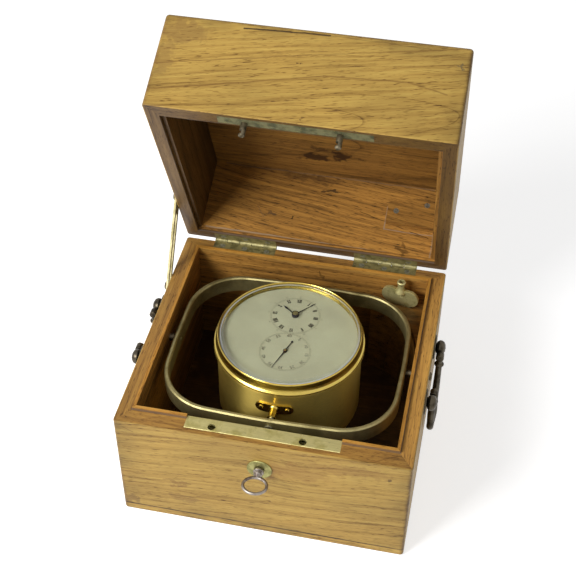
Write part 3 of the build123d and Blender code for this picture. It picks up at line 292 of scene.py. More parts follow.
@dataclass(frozen=True)
class Blot:
    """A stain or a bruise in the wood, an ellipsoid of colour in the shut box, in millimetres."""

    centre: Place
    reach: Place
    share: float = 0.8
    colour: str = "#2c1608"
    core: float = 0.7

    def mask(self, tree: Tree, place: Socket) -> Socket:
        """Masks the ellipsoid, full in its core and fading to its rim.

        Args:
            tree: The node tree of the material.
            place: The shaded point in the shut box, in millimetres.

        Returns:
            The socket with the share, 0 outside the blot.
        """
        offset = add_node(tree, "VectorMath", {0: place, 1: self.centre},
                          operation="SUBTRACT").outputs[0]
        scaled = add_node(tree, "VectorMath", {0: offset, 1: self.reach},
                          operation="DIVIDE").outputs[0]
        size = add_node(tree, "VectorMath", {0: scaled}, operation="LENGTH").outputs["Value"]
        return add_node(tree, "MapRange", {
            "Value": size, "From Min": 1.0, "From Max": self.core, "To Max": self.share},
            interpolation_type="SMOOTHSTEP").outputs[0]


@dataclass(frozen=True)
class Trace:
    """A line on the wood, such as a shake or dried polish, between two points of the shut box."""

    start: Place
    end: Place
    wide: float = 0.3
    share: float = 0.7
    colour: str = "#2c1608"

    def mask(self, tree: Tree, place: Socket) -> Socket:
        """Masks the line by each point's distance to it.

        Args:
            tree: The node tree of the material.
            place: The shaded point in the shut box, in millimetres.

        Returns:
            The socket with the share, 0 away from the line.
        """
        run = Vector(self.end) - Vector(self.start)
        offset = add_node(tree, "VectorMath", {0: place, 1: self.start},
                          operation="SUBTRACT").outputs[0]
        along = add_node(tree, "VectorMath", {0: offset, 1: run / run.length_squared},
                         operation="DOT_PRODUCT").outputs["Value"]
        along = add_node(tree, "Clamp", {"Value": along}).outputs[0]
        foot = add_node(tree, "VectorMath", {0: run, "Scale": along},
                        operation="SCALE").outputs[0]
        away = add_node(tree, "VectorMath", {0: offset, 1: foot},
                        operation="DISTANCE").outputs["Value"]
        return add_node(tree, "MapRange", {"Value": away, "From Min": self.wide,
                                           "From Max": self.wide * 0.4,
                                           "To Max": self.share}).outputs[0]


@dataclass(frozen=True)
class FadedWalnut(Finish):
    """French-polished walnut, faded to honey outside by light and still brown inside.

    The polish gives a soft, broad sheen. Growth rings show as drawn-out arches, and the open
    pores as short dark dashes along the grain.
    """

    grain: Grain = Grain.WALL_ALONG_X
    lid: bool = False
    pith_across: float = 20.0
    pith_deep: float = 26.0
    slope: float = 0.05
    ring_pitch: float = 7.0
    tilt: float = 0.0
    pore_long: float = 5.5
    pore_wide: float = 0.5
    knot: Blot | None = None
    knot_lift: float = 5.0
    # Painted light and shade: each board's rims, outside and inside are scaled lighter or darker
    # for how the light falls on them.
    rim_tone: float = 1.0
    outside_tone: float = 1.0
    inside_tone: float = 1.0
    # Painted shade: inside, the wood is darkened between these two heights, fully at the first one,
    # for the shade deep in the box and the lid.
    dark_below: tuple[float, float] = (30.0, 70.0)
    dark_tone: float = 0.4
    seed: float = 0.0
    marks: tuple[Blot | Trace, ...] = ()
    ring_share: float = 0.42
    pore_share: float = 0.42
    pore_deep: float = 0.08
    face_within: float = 0.9
    handled_within: float = 16.0
    worn_within: float = 3.0
    smoothest: float = 0.38
    roughest: float = 0.58

    def shut_coordinates(self, tree: Tree) -> Socket:
        """Takes the shaded point to where it is in the shut box, in millimetres.

        Args:
            tree: The node tree of the material.

        Returns:
            The socket with the place.
        """
        place = millimetres(tree)
        if not self.lid:
            return place
        pin, angle = hinge_turn()
        shift = (pin - Matrix.Rotation(angle, 3, "X") @ pin) / MM
        return add_node(tree, "Mapping", {"Vector": place, "Location": shift,
                                          "Rotation": (angle, 0, 0)}).outputs[0]

    def board_coordinates(self, tree: Tree, place: Socket) -> Socket:
        """Turns the place into along the grain, across it and into the board.

        Args:
            tree: The node tree of the material.
            place: The shaded point in the shut box, in millimetres.

        Returns:
            The socket with the board's own coordinates.
        """
        axes = add_node(tree, "SeparateXYZ", {0: place}).outputs
        joined = add_node(tree, "CombineXYZ", {
            i: axes[axis] for i, axis in enumerate(self.grain.value)}).outputs[0]
        board = add_node(tree, "VectorMath", {0: joined, 1: (self.seed, 0, 0)}).outputs[0]
        if self.knot is None:
            return board
        swirl = add_node(tree, "CombineXYZ", {1: self.knot.mask(tree, place)}).outputs[0]
        return add_node(tree, "VectorMath", {0: swirl, 1: (0, self.knot_lift, 0), 2: board},
                        operation="MULTIPLY_ADD").outputs[0]

    def tone(self, tree: Tree, board: Socket) -> tuple[Socket, Socket]:
        """Draws growth rings, streaks, fibres and pores.

        Args:
            tree: The node tree of the material.
            board: The board's own coordinates, in millimetres.

        Returns:
            How dark the wood is, and how open its pores are, each from 0 to 1.
        """
        board = add_node(tree, "Mapping", {"Vector": board,
                                           "Rotation": (0, 0, -self.tilt)}).outputs[0]
        # The rings sway over 125 mm along the board and 33 mm across it.
        drift = add_node(tree, "Mapping", {"Vector": board, "Scale": (0.008, 0.03, 0.03)})
        sway = add_node(tree, "TexNoise", {"Vector": drift.outputs[0], "Scale": 1.0,
                                           "Detail": 2.0}).outputs["Color"]
        sway = add_node(tree, "VectorMath", {0: sway, 1: (0.5, 0.5, 0.5)},
                        operation="SUBTRACT").outputs[0]
        bent = add_node(tree, "VectorMath", {0: sway, 1: (0.0, 9.0, 5.0), 2: board},
                        operation="MULTIPLY_ADD").outputs[0]
        log_axis = add_node(tree, "Mapping", {
            "Vector": bent, "Location": (0, -self.pith_across, self.pith_deep),
            "Rotation": (0, -self.slope, 0)})
        rings = add_node(tree, "TexWave", {
            "Vector": log_axis.outputs[0], "Scale": 2 * pi / (20 * self.ring_pitch),
            "Distortion": 0.9, "Detail": 2.0, "Detail Scale": 0.1},
            wave_type="RINGS", rings_direction="X", wave_profile="SAW").outputs["Fac"]
        late = add_node(tree, "ValToRGB", {"Fac": rings}, stops=(
            (0.0, "#ffffff"), (0.035, "#8c8c8c"), (0.2, "#4a4a4a"), (0.75, "#303030"),
            (0.99, "#808080"))).outputs[0]
        # Streaks are about 80 mm long and 2.4 mm wide, fibres 17 mm and 0.5 mm. Real pores are
        # finer than these, which are drawn as coarse as they need to be to show.
        streaks = cloud(tree, bent, (0.012, 0.42, 0.42), 0.32, 0.7, 0.0, 0.44, 4.0)
        fibres = cloud(tree, board, (0.06, 2.0, 2.0), 0.3, 0.75, 0.0, 0.3, 2.0)
        open_pore = cloud(tree, bent, (1 / self.pore_long, 1 / self.pore_wide,
                                       1 / self.pore_wide), 0.6, 0.7, detail=1.0)
        dark = add_node(tree, "Math", {0: late, 1: self.ring_share, 2: streaks},
                        operation="MULTIPLY_ADD").outputs[0]
        dark = add_node(tree, "Math", {0: dark, 1: fibres}, operation="ADD").outputs[0]
        dark = add_node(tree, "Math", {0: open_pore, 1: self.pore_share, 2: dark},
                        operation="MULTIPLY_ADD", use_clamp=True).outputs[0]
        return dark, open_pore

    def near_edges(self, tree: Tree, place: Socket, reach: float) -> list[Socket]:
        """Masks the three pairs of the shut box's outer faces.

        Args:
            tree: The node tree of the material.
            place: The shaded point in the shut box, in millimetres.
            reach: How far in from a face its mask starts, in millimetres.

        Returns:
            For each axis, a socket that is 1 on the faces and 0 beyond the reach.
        """
        near = []
        for axis, middle, half in (("X", 0.0, BoxSizes.half_width),
                                   ("Y", 0.0, BoxSizes.half_depth),
                                   ("Z", BoxSizes.top / 2, BoxSizes.top / 2)):
            near.append(add_node(tree, "MapRange", {
                "Value": off_plane(tree, place, axis, middle), "From Min": half - reach,
                "From Max": half - BoxSizes.face_slack}).outputs[0])
        return near

    def pairs(self, tree: Tree, near: Sequence[Socket]) -> Socket:
        """Masks the edges, where two of the outside's faces come together.

        Args:
            tree: The node tree of the material.
            near: The masks of the faces, one for each axis.

        Returns:
            The socket with the mask.
        """
        return folded(tree, "MAXIMUM", [
            add_node(tree, "Math", {0: near[first], 1: near[second]},
                     operation="MULTIPLY").outputs[0]
            for first, second in ((0, 1), (1, 2), (0, 2))])

    def region(self, tree: Tree, place: Socket) -> tuple[Socket, Socket, Socket]:
        """Masks what polish and daylight have treated alike, and the dust lip, which gets a painted
        highlight.

        Args:
            tree: The node tree of the material.
            place: The shaded point in the shut box, in millimetres.

        Returns:
            Masks of the outer faces, of the rims where box and lid meet, and of the dust lip.
        """
        # The rims' faces lie less than 2 mm from the plane where the lid meets the box.
        outer = folded(tree, "MAXIMUM", self.near_edges(tree, place, self.face_within))
        rim = add_node(tree, "MapRange", {"Value": off_plane(tree, place, "Z", BoxSizes.rim),
                                          "From Min": 2.1, "From Max": 1.8}).outputs[0]
        # The lid has no lip, so there its mask starts far over the rim.
        lip_from, lip_full = (99.0, 100.0) if self.lid else (0.7, 1.1)
        height = add_node(tree, "SeparateXYZ", {0: place}).outputs["Z"]
        lip = add_node(tree, "MapRange", {"Value": height, "From Min": BoxSizes.rim + lip_from,
                                          "From Max": BoxSizes.rim + lip_full}).outputs[0]
        return outer, rim, lip

    def seams(self, tree: Tree, place: Socket, colour: Socket) -> Socket:
        """Darkens the joint over the bottom board and paints a grey shadow in the gap at the lip's
        foot.

        Args:
            tree: The node tree of the material.
            place: The shaded point in the shut box, in millimetres.
            colour: The wood's colour so far.

        Returns:
            The socket with the colour.
        """
        joint = add_node(tree, "MapRange", {
            "Value": off_plane(tree, place, "Z", BoxSizes.bottom), "From Min": 0.85,
            "From Max": 0.3}).outputs[0]
        # The joint opens and closes again every 17 mm or so.
        gaps = cloud(tree, place, (0.06, 0.06, 0.06), 0.35, 0.6, 0.5, 0.95)
        joint = add_node(tree, "Math", {0: joint, 1: gaps}, operation="MULTIPLY").outputs[0]
        sides = [add_node(tree, "Math", {0: off_plane(tree, place, axis, middle), 1: half},
                          operation="SUBTRACT").outputs[0]
                 for axis, middle, half in (("X", 0.0, BoxSizes.lip_x),
                                            ("Y", BoxSizes.lip_middle, BoxSizes.lip_y))]
        out = folded(tree, "MAXIMUM", sides)
        # The painted shadow lies as a line whose middle is a quarter of a millimetre off the lip.
        out = add_node(tree, "Math", {0: out, 1: 0.25}, operation="SUBTRACT").outputs[0]
        out = add_node(tree, "Math", {0: out}, operation="ABSOLUTE").outputs[0]
        height = add_node(tree, "SeparateXYZ", {0: place}).outputs["Z"]
        foot = folded(tree, "MULTIPLY", [
            add_node(tree, "MapRange", {"Value": value, "From Min": none, "From Max": full,
                                        "To Max": most}).outputs[0]
            for value, none, full, most in (
                (out, 0.5, 0.2, 0.75),
                (height, BoxSizes.rim - 1.0, BoxSizes.rim - 0.5, 1.0),
                (height, BoxSizes.rim + 1.5, BoxSizes.rim + 1.2, 1.0))])
        return layered(tree, colour, [(joint, linear("#2a190b")), (foot, linear("#6f6055"))])

    def palettes(self, tree: Tree, place: Socket, tone: Socket) -> Socket:
        """Colours the grain by where it is: inside, on the rims, on the lip or outside, with
        painted light and shade.

        Args:
            tree: The node tree of the material.
            place: The shaded point in the shut box, in millimetres.
            tone: How dark the wood is there.

        Returns:
            The socket with the colour.
        """
        outer, rim, lip = self.region(tree, place)
        height = add_node(tree, "SeparateXYZ", {0: place}).outputs["Z"]
        # Painted shade: the inside palette darkens with height, towards the bottom of the box and
        # deep into the lid.
        depth = add_node(tree, "MapRange", {
            "Value": height, "From Min": self.dark_below[0], "From Max": self.dark_below[1],
            "To Min": self.dark_tone, "To Max": self.inside_tone}).outputs[0]
        shades = []
        # Each palette is scaled by the board's painted light or shade.
        for palette, lightness in ((INSIDE, depth), (RIM, self.rim_tone), (LIP, 1.0),
                                   (OUTSIDE, self.outside_tone)):
            ramp = add_node(tree, "ValToRGB", {"Fac": tone}, stops=(
                (0.1, palette.pale), (0.42, palette.body), (0.75, palette.late),
                (1.0, palette.pore))).outputs[0]
            shades.append(add_node(tree, "VectorMath", {0: ramp, "Scale": lightness},
                                   operation="SCALE").outputs[0])
        return layered(tree, shades[0], list(zip((rim, lip, outer), shades[1:])))

    def shade(self, tree: Tree) -> Socket:
        """Lays the board's palettes, its seams, wear and marks over one grain, and polishes it.

        Args:
            tree: The node tree of the material.

        Returns:
            The surface output.
        """
        place = self.shut_coordinates(tree)
        tone, pore = self.tone(tree, self.board_coordinates(tree, place))
        colour = self.palettes(tree, place, tone)
        # Fading comes in patches of 30 to 50 mm, grime of 12 to 20 mm, bare edges of 11 mm.
        light = cloud(tree, place, (0.02, 0.03, 0.03), 0.3, 0.7, 0.84, 1.08)
        handled = self.pairs(tree, self.near_edges(tree, place, self.handled_within))
        grime = cloud(tree, place, (0.05, 0.08, 0.08), 0.4, 0.65, 0.0, 0.34, 4.0)
        grime = add_node(tree, "Math", {0: handled, 1: grime}, operation="MULTIPLY").outputs[0]
        light = add_node(tree, "Math", {0: light, 1: grime}, operation="SUBTRACT").outputs[0]
        colour = add_node(tree, "VectorMath", {0: colour, "Scale": light},
                          operation="SCALE").outputs[0]
        colour = self.seams(tree, place, colour)
        worn = self.pairs(tree, self.near_edges(tree, place, self.worn_within))
        patch = cloud(tree, place, (0.09, 0.09, 0.09), 0.35, 0.65, 0.1, 0.8, 4.0)
        worn = add_node(tree, "Math", {0: worn, 1: patch}, operation="MULTIPLY").outputs[0]
        colour = layered(tree, colour, [(worn, linear(OUTSIDE.pore))])
        colour = self.marked(tree, place, colour)
        bump = add_node(tree, "Bump", {"Height": pore, "Strength": 0.25,
                                       "Distance": self.pore_deep * MM}, invert=True).outputs[0]
        rough = add_node(tree, "MapRange", {"Value": tone, "To Min": self.smoothest,
                                            "To Max": self.roughest}).outputs[0]
        return add_node(tree, "BsdfPrincipled", {
            "Base Color": colour, "Roughness": rough, "Normal": bump, "Coat Weight": 0.06,
            "Coat Roughness": 0.3, "Specular IOR Level": 0.25}).outputs[0]

    def marked(self, tree: Tree, place: Socket, colour: Socket) -> Socket:
        """Adds the board's own marks of age, with ragged edges.

        Args:
            tree: The node tree of the material.
            place: The shaded point in the shut box, in millimetres.
            colour: The wood's colour so far.

        Returns:
            The socket with the colour.
        """
        if not self.marks:
            return colour
        ragged = {}
        # The noise's scale per millimetre, and how far it pushes an edge, in millimetres.
        for kind, size, push in ((Blot, 0.17, 15.0), (Trace, 0.1, 1.6)):
            noise = add_node(tree, "TexNoise", {"Vector": place, "Scale": size,
                                                "Detail": 4.0}).outputs["Color"]
            centred = add_node(tree, "VectorMath", {0: noise, 1: (0.5, 0.5, 0.5)},
                               operation="SUBTRACT").outputs[0]
            ragged[kind] = add_node(tree, "VectorMath", {
                0: centred, 1: (push, push, push), 2: place},
                operation="MULTIPLY_ADD").outputs[0]
        return layered(tree, colour, [
            (mark.mask(tree, ragged[type(mark)]), linear(mark.colour)) for mark in self.marks])


@dataclass(frozen=True)
class WorkedMetal(Finish):
    """A bare or lacquered metal with the marks that its making and its age leave.

    Brushing or turning stretches the fine noise in one direction, tarnish lies over it in soft
    clouds, and small spots show where damp has bitten. A metal keeps the default IOR.
    """

    bright: str = "#d9b560"
    tarnish: str = "#6b5a2c"
    spot: str = "#3c3420"
    tarnish_share: float = 0.5
    spot_share: float = 0.25
    rough: float = 0.28
    rough_spread: float = 0.15
    metallic: float = 1.0
    grit: float = 0.35
    stretch: Place = (1.0, 1.0, 1.0)
    cloud_size: float = 9.0
    depth: float = 0.02
    turned: float = 0.0

    def shade(self, tree: Tree) -> Socket:
        """Lays tarnish clouds, spots and fine tool marks over the bright metal.

        Args:
            tree: The node tree of the material.

        Returns:
            The surface output.
        """
        place = millimetres(tree)
        wide = (1 / self.cloud_size,) * 3
        # The more tarnish, the lower the noise level from which it lies.
        level = 0.62 - 0.3 * self.tarnish_share
        old = cloud(tree, place, wide, level, level + 0.18, 0.0,
                    min(1.0, 0.35 + self.tarnish_share), 5.0)
        # Damp has bitten in spots of a millimetre or so.
        spots = cloud(tree, place, (0.8, 0.8, 0.8), 0.62, 0.72, 0.0, self.spot_share)
        lines = add_node(tree, "Mapping", {"Vector": place, "Scale": tuple(
            s / self.grit for s in self.stretch)}).outputs[0]
        marks = add_node(tree, "TexNoise", {"Vector": lines, "Scale": 1.0,
                                            "Detail": 2.0}).outputs["Fac"]
        colour = layered(tree, linear(self.bright), [(old, linear(self.tarnish)),
                                                     (spots, linear(self.spot))])
        light = add_node(tree, "MapRange", {"Value": marks, "From Min": 0.3, "From Max": 0.7,
                                            "To Min": 0.9, "To Max": 1.08}).outputs[0]
        colour = add_node(tree, "VectorMath", {0: colour, "Scale": light},
                          operation="SCALE").outputs[0]
        rough = cloud(tree, place, wide, 0.3, 0.75, self.rough, self.rough + self.rough_spread,
                      5.0)
        bump = add_node(tree, "Bump", {"Height": marks, "Strength": 0.3,
                                       "Distance": self.depth * MM}).outputs[0]
        round_axis = add_node(tree, "Tangent", direction_type="RADIAL", axis="Z").outputs[0]
        return add_node(tree, "BsdfPrincipled", {
            "Base Color": colour, "Metallic": self.metallic, "Roughness": rough,
            "Normal": bump, "Tangent": round_axis, "Anisotropic": self.turned,
            "Anisotropic Rotation": 0.25}).outputs[0]


@dataclass(frozen=True)
class SilveredDial(Finish):
    """Brass silvered with a paste and lacquered, gone the colour of old ivory.

    It is grained very finely, so it scatters light almost as paper does, and it is a little
    darker and spotted where the lacquer has failed.
    """

    pale: str = "#b2b097"
    aged: str = "#a09e88"
    spot: str = "#7d7758"

    def shade(self, tree: Tree) -> Socket:
        """Mixes the silvering with aged clouds and small spots.

        Args:
            tree: The node tree of the material.

        Returns:
            The surface output.
        """
        place = millimetres(tree)
        # Clouds of age are 30 mm wide, specks 2 mm; the graining is about 0.4 mm, as coarse
        # as it needs to be to show.
        age = cloud(tree, place, (0.035, 0.035, 0.035), 0.3, 0.75)
        colour = add_node(tree, "ValToRGB", {"Fac": age}, stops=(
            (0.0, self.pale), (1.0, self.aged))).outputs[0]
        specks = cloud(tree, place, (0.55, 0.55, 0.55), 0.70, 0.78, 0.0, 0.4)
        colour = layered(tree, colour, [(specks, linear(self.spot))])
        grain = add_node(tree, "TexNoise", {"Vector": place, "Scale": 2.5}).outputs["Fac"]
        bump = add_node(tree, "Bump", {"Height": grain, "Strength": 0.1,
                                       "Distance": 0.01 * MM}).outputs[0]
        rough = add_node(tree, "MapRange", {"Value": age, "To Min": 0.42,
                                            "To Max": 0.55}).outputs[0]
        return add_node(tree, "BsdfPrincipled", {
            "Base Color": colour, "Metallic": 0.2, "Roughness": rough,
            "Normal": bump}).outputs[0]


@dataclass(frozen=True)
class CrownGlass(Finish):
    """Clear crown glass with a broad bevel, and a grey-white ring at its outer edge that is a
    painted reflection.
    """

    tint: str = "#f6f8f4"
    # Painted reflection: the ring's colour, and the radius in millimetres where it starts.
    ground: str = "#c2c6c8"
    ground_from: float = 43.2

    def shade(self, tree: Tree) -> Socket:
        """Lets light through the clear part, and shows a grey-white painted reflection at the outer
        edge.

        Args:
            tree: The node tree of the material.

        Returns:
            The surface output.
        """
        place = millimetres(tree)
        # Wiping leaves the polish uneven over some 17 mm.
        rough = cloud(tree, place, (0.06, 0.06, 0.06), 0.2, 0.8, 0.01, 0.05)
        glass = add_node(tree, "BsdfPrincipled", {
            "Base Color": linear(self.tint), "Roughness": rough, "IOR": 1.5,
            "Transmission Weight": 1.0}).outputs[0]
        clear = add_node(tree, "BsdfTransparent", {"Color": linear(self.tint)}).outputs[0]
        shadow = add_node(tree, "LightPath").outputs["Is Shadow Ray"]
        glass = add_node(tree, "MixShader", {0: shadow, 1: glass, 2: clear}).outputs[0]
        # Painted reflection: a grey diffuse ring over the bevel's outer edge stands for the light
        # it mirrors.
        frost = add_node(tree, "BsdfPrincipled", {"Base Color": linear(self.ground),
                                                  "Roughness": 0.35}).outputs[0]
        flat = add_node(tree, "VectorMath", {0: place, 1: (1, 1, 0)},
                        operation="MULTIPLY").outputs[0]
        radius = add_node(tree, "VectorMath", {0: flat}, operation="LENGTH").outputs["Value"]
        edge = add_node(tree, "MapRange", {"Value": radius, "From Min": self.ground_from,
                                           "From Max": self.ground_from + 0.15,
                                           "To Max": 0.85}).outputs[0]
        return add_node(tree, "MixShader", {0: edge, 1: glass, 2: frost}).outputs[0]


@dataclass(frozen=True)
class EngravingWax(Finish):
    """Black shellac wax melted into the engraving, matt and slightly brown with age."""

    dark: str = "#201d19"
    faded: str = "#3d382e"

    def shade(self, tree: Tree) -> Socket:
        """Mixes the wax with the places, 2 mm or so across, where it has worn thin.

        Args:
            tree: The node tree of the material.

        Returns:
            The surface output.
        """
        thin = cloud(tree, millimetres(tree), (0.42, 0.42, 0.42), 0.4, 0.7)
        colour = add_node(tree, "ValToRGB", {"Fac": thin}, stops=(
            (0.0, self.dark), (1.0, self.faded))).outputs[0]
        return add_node(tree, "BsdfPrincipled", {"Base Color": colour,
                                                 "Roughness": 0.6}).outputs[0]


@dataclass(frozen=True)
class BoxSizes:
    """Sizes of the shut box in millimetres, read from the frame where a solid gives them."""

    half_width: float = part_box("right_board")[1].x / MM
    half_depth: float = -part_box("front_board")[0].y / MM
    bottom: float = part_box("bottom_board")[1].z / MM
    rim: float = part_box("lock_faceplate")[1].z / MM + 0.2
    top: float = 149.9
    face_slack: float = 0.3
    lip_x: float = 81.0
    lip_y: float = 75.0
    lip_middle: float = 1.0


# Old polish that dried in the corners is grey-brown; bruises and shakes are nearly black.
POLISH = "#a18e79"
SHAKE = "#2a1709"

FRONT_MARKS = (
    Blot((77.4, -85, 73.3), (1.8, 4, 1.6), 0.7, "#3a220f"),
    Blot((-54.6, -85, 35.5), (7, 4, 3.2), 0.4, "#6b4422"),
    Blot((-50, -85, 22), (12, 4, 5), 0.35, "#6b4a28"),
    Blot((-84, -85, 12), (7, 4, 5), 0.45, "#5b4028"),
    Blot((2.5, -85, 34.1), (1.0, 4, 0.8), 0.6, "#4a2c14"),
    Blot((20, -85, 66), (26, 4, 9), 0.3, "#8a5c2c"),
    Blot((5, -85, 60), (8, 4, 6), 0.35, "#7d5228"),
    Blot((55, -85, 76), (30, 4, 5), 0.3, "#8a6232"),
    Trace((-84, -85, 82), (-78, -85, 79), 0.5, 0.5, "#5b3a1c"),
    Trace((-79, -72, 86.8), (-90, -85, 86.8), 0.22, 0.5, SHAKE),
    Trace((79, -72, 86.8), (90, -85, 86.8), 0.25, 0.6, "#8f7c66"),
)
LID_FRONT_MARKS = (
    Trace((-42, -85, 145.4), (8, -85, 146.8), 0.75, 0.9, SHAKE),
    Trace((8, -85, 146.8), (66, -85, 145.6), 0.35, 0.4, SHAKE),
    Trace((-88, -85, 98), (-38, -85, 108.5), 0.7, 0.6, "#6b4820"),
    Trace((-38, -85, 108.5), (9, -85, 119.8), 0.6, 0.5, "#6b4820"),
    Trace((9, -85, 119.8), (57, -85, 122), 0.65, 0.5, "#6b4820"),
    Trace((57, -85, 122), (79, -85, 116.8), 0.7, 0.45, "#6b4820"),
    Trace((-90, -85, 114.8), (-8, -85, 131), 0.55, 0.5, "#6b4820"),
    Trace((-8, -85, 131), (84, -85, 148), 0.5, 0.4, "#6b4820"),
    Blot((-76, -85, 138), (16, 4, 9), 0.4, "#7d5c34"),
    Blot((-84, -85, 120), (7, 4, 14), 0.35, "#7d5c34"),
    Blot((-6, -85, 127.4), (0.9, 4, 0.8), 0.8, "#4a2c14"),
    Blot((84, -85, 137), (1.5, 4, 0.9), 0.6, "#55503f"),
    Blot((1, -85, 91), (1.2, 4, 1.0), 0.5, "#5b3a1c"),
    Trace((79, -73, 86.8), (90, -85, 86.8), 0.3, 0.6, "#8f7c66"),
    Trace((-79, -73, 86.8), (-90, -85, 86.8), 0.22, 0.4, SHAKE),
)
LID_BACK_MARKS = (
    Trace((-76, 74, 90.3), (78, 74, 88.6), 0.8, 0.65, POLISH),
    Trace((77.6, 74, 89), (78.2, 74, 140), 0.7, 0.5, POLISH),
    Trace((45, 74, 106.2), (77, 74, 105.8), 0.5, 0.7, POLISH),
    Trace((44.5, 74, 106), (44.7, 74, 123), 0.6, 0.7, POLISH),
    Trace((45, 74, 124), (52, 74, 127), 0.6, 0.5, POLISH),
    Trace((26.4, 74, 116.4), (74.7, 74, 103.8), 0.35, 0.85, SHAKE),
    Trace((-5, 74, 126), (26.4, 74, 116.4), 0.2, 0.5, SHAKE),
    Trace((-62, 74, 117), (-26, 74, 106), 0.25, 0.6, SHAKE),
    Trace((28, 74, 139.5), (71, 74, 134), 0.3, 0.7, SHAKE),
    Trace((-44, 74, 111), (-38, 74, 103), 0.3, 0.5, "#584d42"),
    Trace((-72, 74, 140.2), (74, 74, 140.2), 0.7, 0.45, "#6d5f52"),
    Blot((3.2, 74, 130), (6, 9, 1.6), 0.75, "#2a2019"),
    Blot((-34, 74, 107), (3, 9, 2.6), 0.6, "#3a3128"),
    Blot((-20, 74, 105), (1.3, 9, 1.3), 0.8, SHAKE),
    Blot((60, 74, 92), (5, 9, 3), 0.55, SHAKE),
    Blot((-10, 74, 137), (26, 9, 3), 0.35, "#3b2818"),
    Trace((-79, 74, 86.8), (-90, 85, 86.8), 0.22, 0.4, SHAKE),
)
LID_TOP_MARKS = (
    Blot((-8, 50, 137), (14, 6, 9), 0.9),
    Blot((10, 44, 137), (9, 10, 9), 0.95),
    Blot((-5, 38, 137), (10, 3, 9), 0.7),
    Blot((24, 46, 137), (3, 2, 9), 0.6),
    Blot((-35, 36, 137), (2, 2, 9), 0.5),
)


def walnut(name: str, **sizes) -> FadedWalnut:
    """Returns the walnut of one board."""
    return FadedWalnut("walnut_" + name, **sizes)


ALONG_Y = Grain.WALL_ALONG_Y
FLAT = Grain.FLAT_ALONG_X
BOARDS: dict[str, FadedWalnut] = {
    # Painted shade: the front's outside is darkened a little for the light falling off across it.
    "front_board": walnut("front", pith_across=-38, pith_deep=112, slope=0.03, tilt=0.09,
                          ring_pitch=8.0, seed=40, outside_tone=0.88, marks=FRONT_MARKS,
                          knot=Blot((26, -85, 60), (44, 30, 30), 1.0, core=0.0)),
    "back_board": walnut("back", pith_across=10, pith_deep=-30, slope=0.03, seed=300,
                         marks=(Blot((6, 74, 80), (1.2, 3, 6), 0.5, SHAKE),)),
    "left_board": walnut("left", grain=ALONG_Y, pith_across=-20, pith_deep=120, seed=500),
    # Painted light: the right board's rim is lightened, where light catches it.
    "right_board": walnut("right", grain=ALONG_Y, pith_across=-20, pith_deep=-40, seed=700,
                          rim_tone=1.5),
    "bottom_board": walnut("bottom", grain=FLAT, pith_across=30, pith_deep=40, seed=900),
    # Painted shade: the rims of the lid's boards are darkened.
    "lid_front_board": walnut("lid_front", lid=True, pith_across=75.8, pith_deep=81.2,
                              slope=0.15, tilt=0.195, seed=60, rim_tone=0.33,
                              marks=LID_FRONT_MARKS),
    # Painted light: the back board's inside is lightened a little towards the rim.
    "lid_back_board": walnut("lid_back", lid=True, pith_across=66, pith_deep=-52, slope=-0.09,
                             tilt=-0.12, ring_pitch=5.0, seed=1100, marks=LID_BACK_MARKS,
                             dark_below=(141.0, 118.0), inside_tone=1.1, dark_tone=1.0,
                             rim_tone=0.33),
    # Painted shade: the lid's left board is darkened inside, deepest towards the top panel.
    "lid_left_board": walnut("lid_left", lid=True, grain=ALONG_Y, pith_across=60,
                             pith_deep=120, seed=1300, dark_below=(140.0, 95.0),
                             inside_tone=0.32, dark_tone=0.14, rim_tone=0.36),
    # Painted shade: the lid's right board darkens inside towards the top panel.
    "lid_right_board": walnut("lid_right", lid=True, grain=ALONG_Y, pith_across=60,
                              pith_deep=-40, seed=1500, dark_below=(140.0, 95.0),
                              dark_tone=0.7, rim_tone=0.36),
    # Painted shade: the inside of the lid's top panel is darkened.
    "lid_top_panel": walnut("lid_top", grain=FLAT, lid=True, pith_across=30, pith_deep=-100,
                            seed=1700, inside_tone=0.75, dark_tone=0.75,
                            marks=LID_TOP_MARKS),
    "key_block": walnut("key_block", pith_deep=-40, seed=1900, inside_tone=0.7),
    "lid_block": walnut("lid_block", lid=True, pith_across=66, pith_deep=-52, slope=-0.09,
                        tilt=-0.12, ring_pitch=5.0, seed=2100, inside_tone=0.85, dark_tone=0.85),
}

# Rolled brass let into the rims: pale where hands rub it, olive in between.
ROLLED_BRASS = WorkedMetal("rolled_brass", bright="#d3c88a", tarnish="#aca05a",
                           tarnish_share=0.4, spot_share=0.25, rough=0.48, rough_spread=0.12,
                           metallic=0.82, stretch=(0.06, 1.0, 1.0), cloud_size=7.0)
# Strip brass, filed and left to dull.
STAY_BRASS = WorkedMetal("dull_stay_brass", bright="#b5ab85", tarnish="#857c52",
                         tarnish_share=0.5, rough=0.45)
# Cast hinge brass with green-brown tarnish and pale flecks where it was cleaned.
HINGE_BRASS = WorkedMetal("cast_hinge_brass", bright="#a39a6e", tarnish="#6f6945",
                          tarnish_share=0.5, spot="#c3c0a4", spot_share=0.35, rough=0.48,
                          metallic=0.8, cloud_size=4.0)
# The strike plate stood nearest the sea air: dark, spotted, with yellow where it was rubbed.
DAMP_BRASS = WorkedMetal("damp_spotted_brass", bright="#84815f", tarnish="#565740",
                         spot="#a8a150", tarnish_share=0.6, spot_share=0.7, rough=0.55,
                         metallic=0.75, cloud_size=5.0)
# Turned disc round the keyhole, dulled by fingers.
ESCUTCHEON_BRASS = WorkedMetal("turned_escutcheon_brass", bright="#a4a069", tarnish="#787547",
                               tarnish_share=0.45, rough=0.42, cloud_size=4.0)
# Bent and scraped bar, lacquered long ago: olive, with a soft sheen along its round edges.
GIMBAL_BRASS = WorkedMetal("lacquered_gimbal_brass", bright="#aba070", tarnish="#756a42",
                           tarnish_share=0.45, rough=0.44, rough_spread=0.12,
                           metallic=0.9, stretch=(0.2, 0.2, 1.0), cloud_size=14.0)
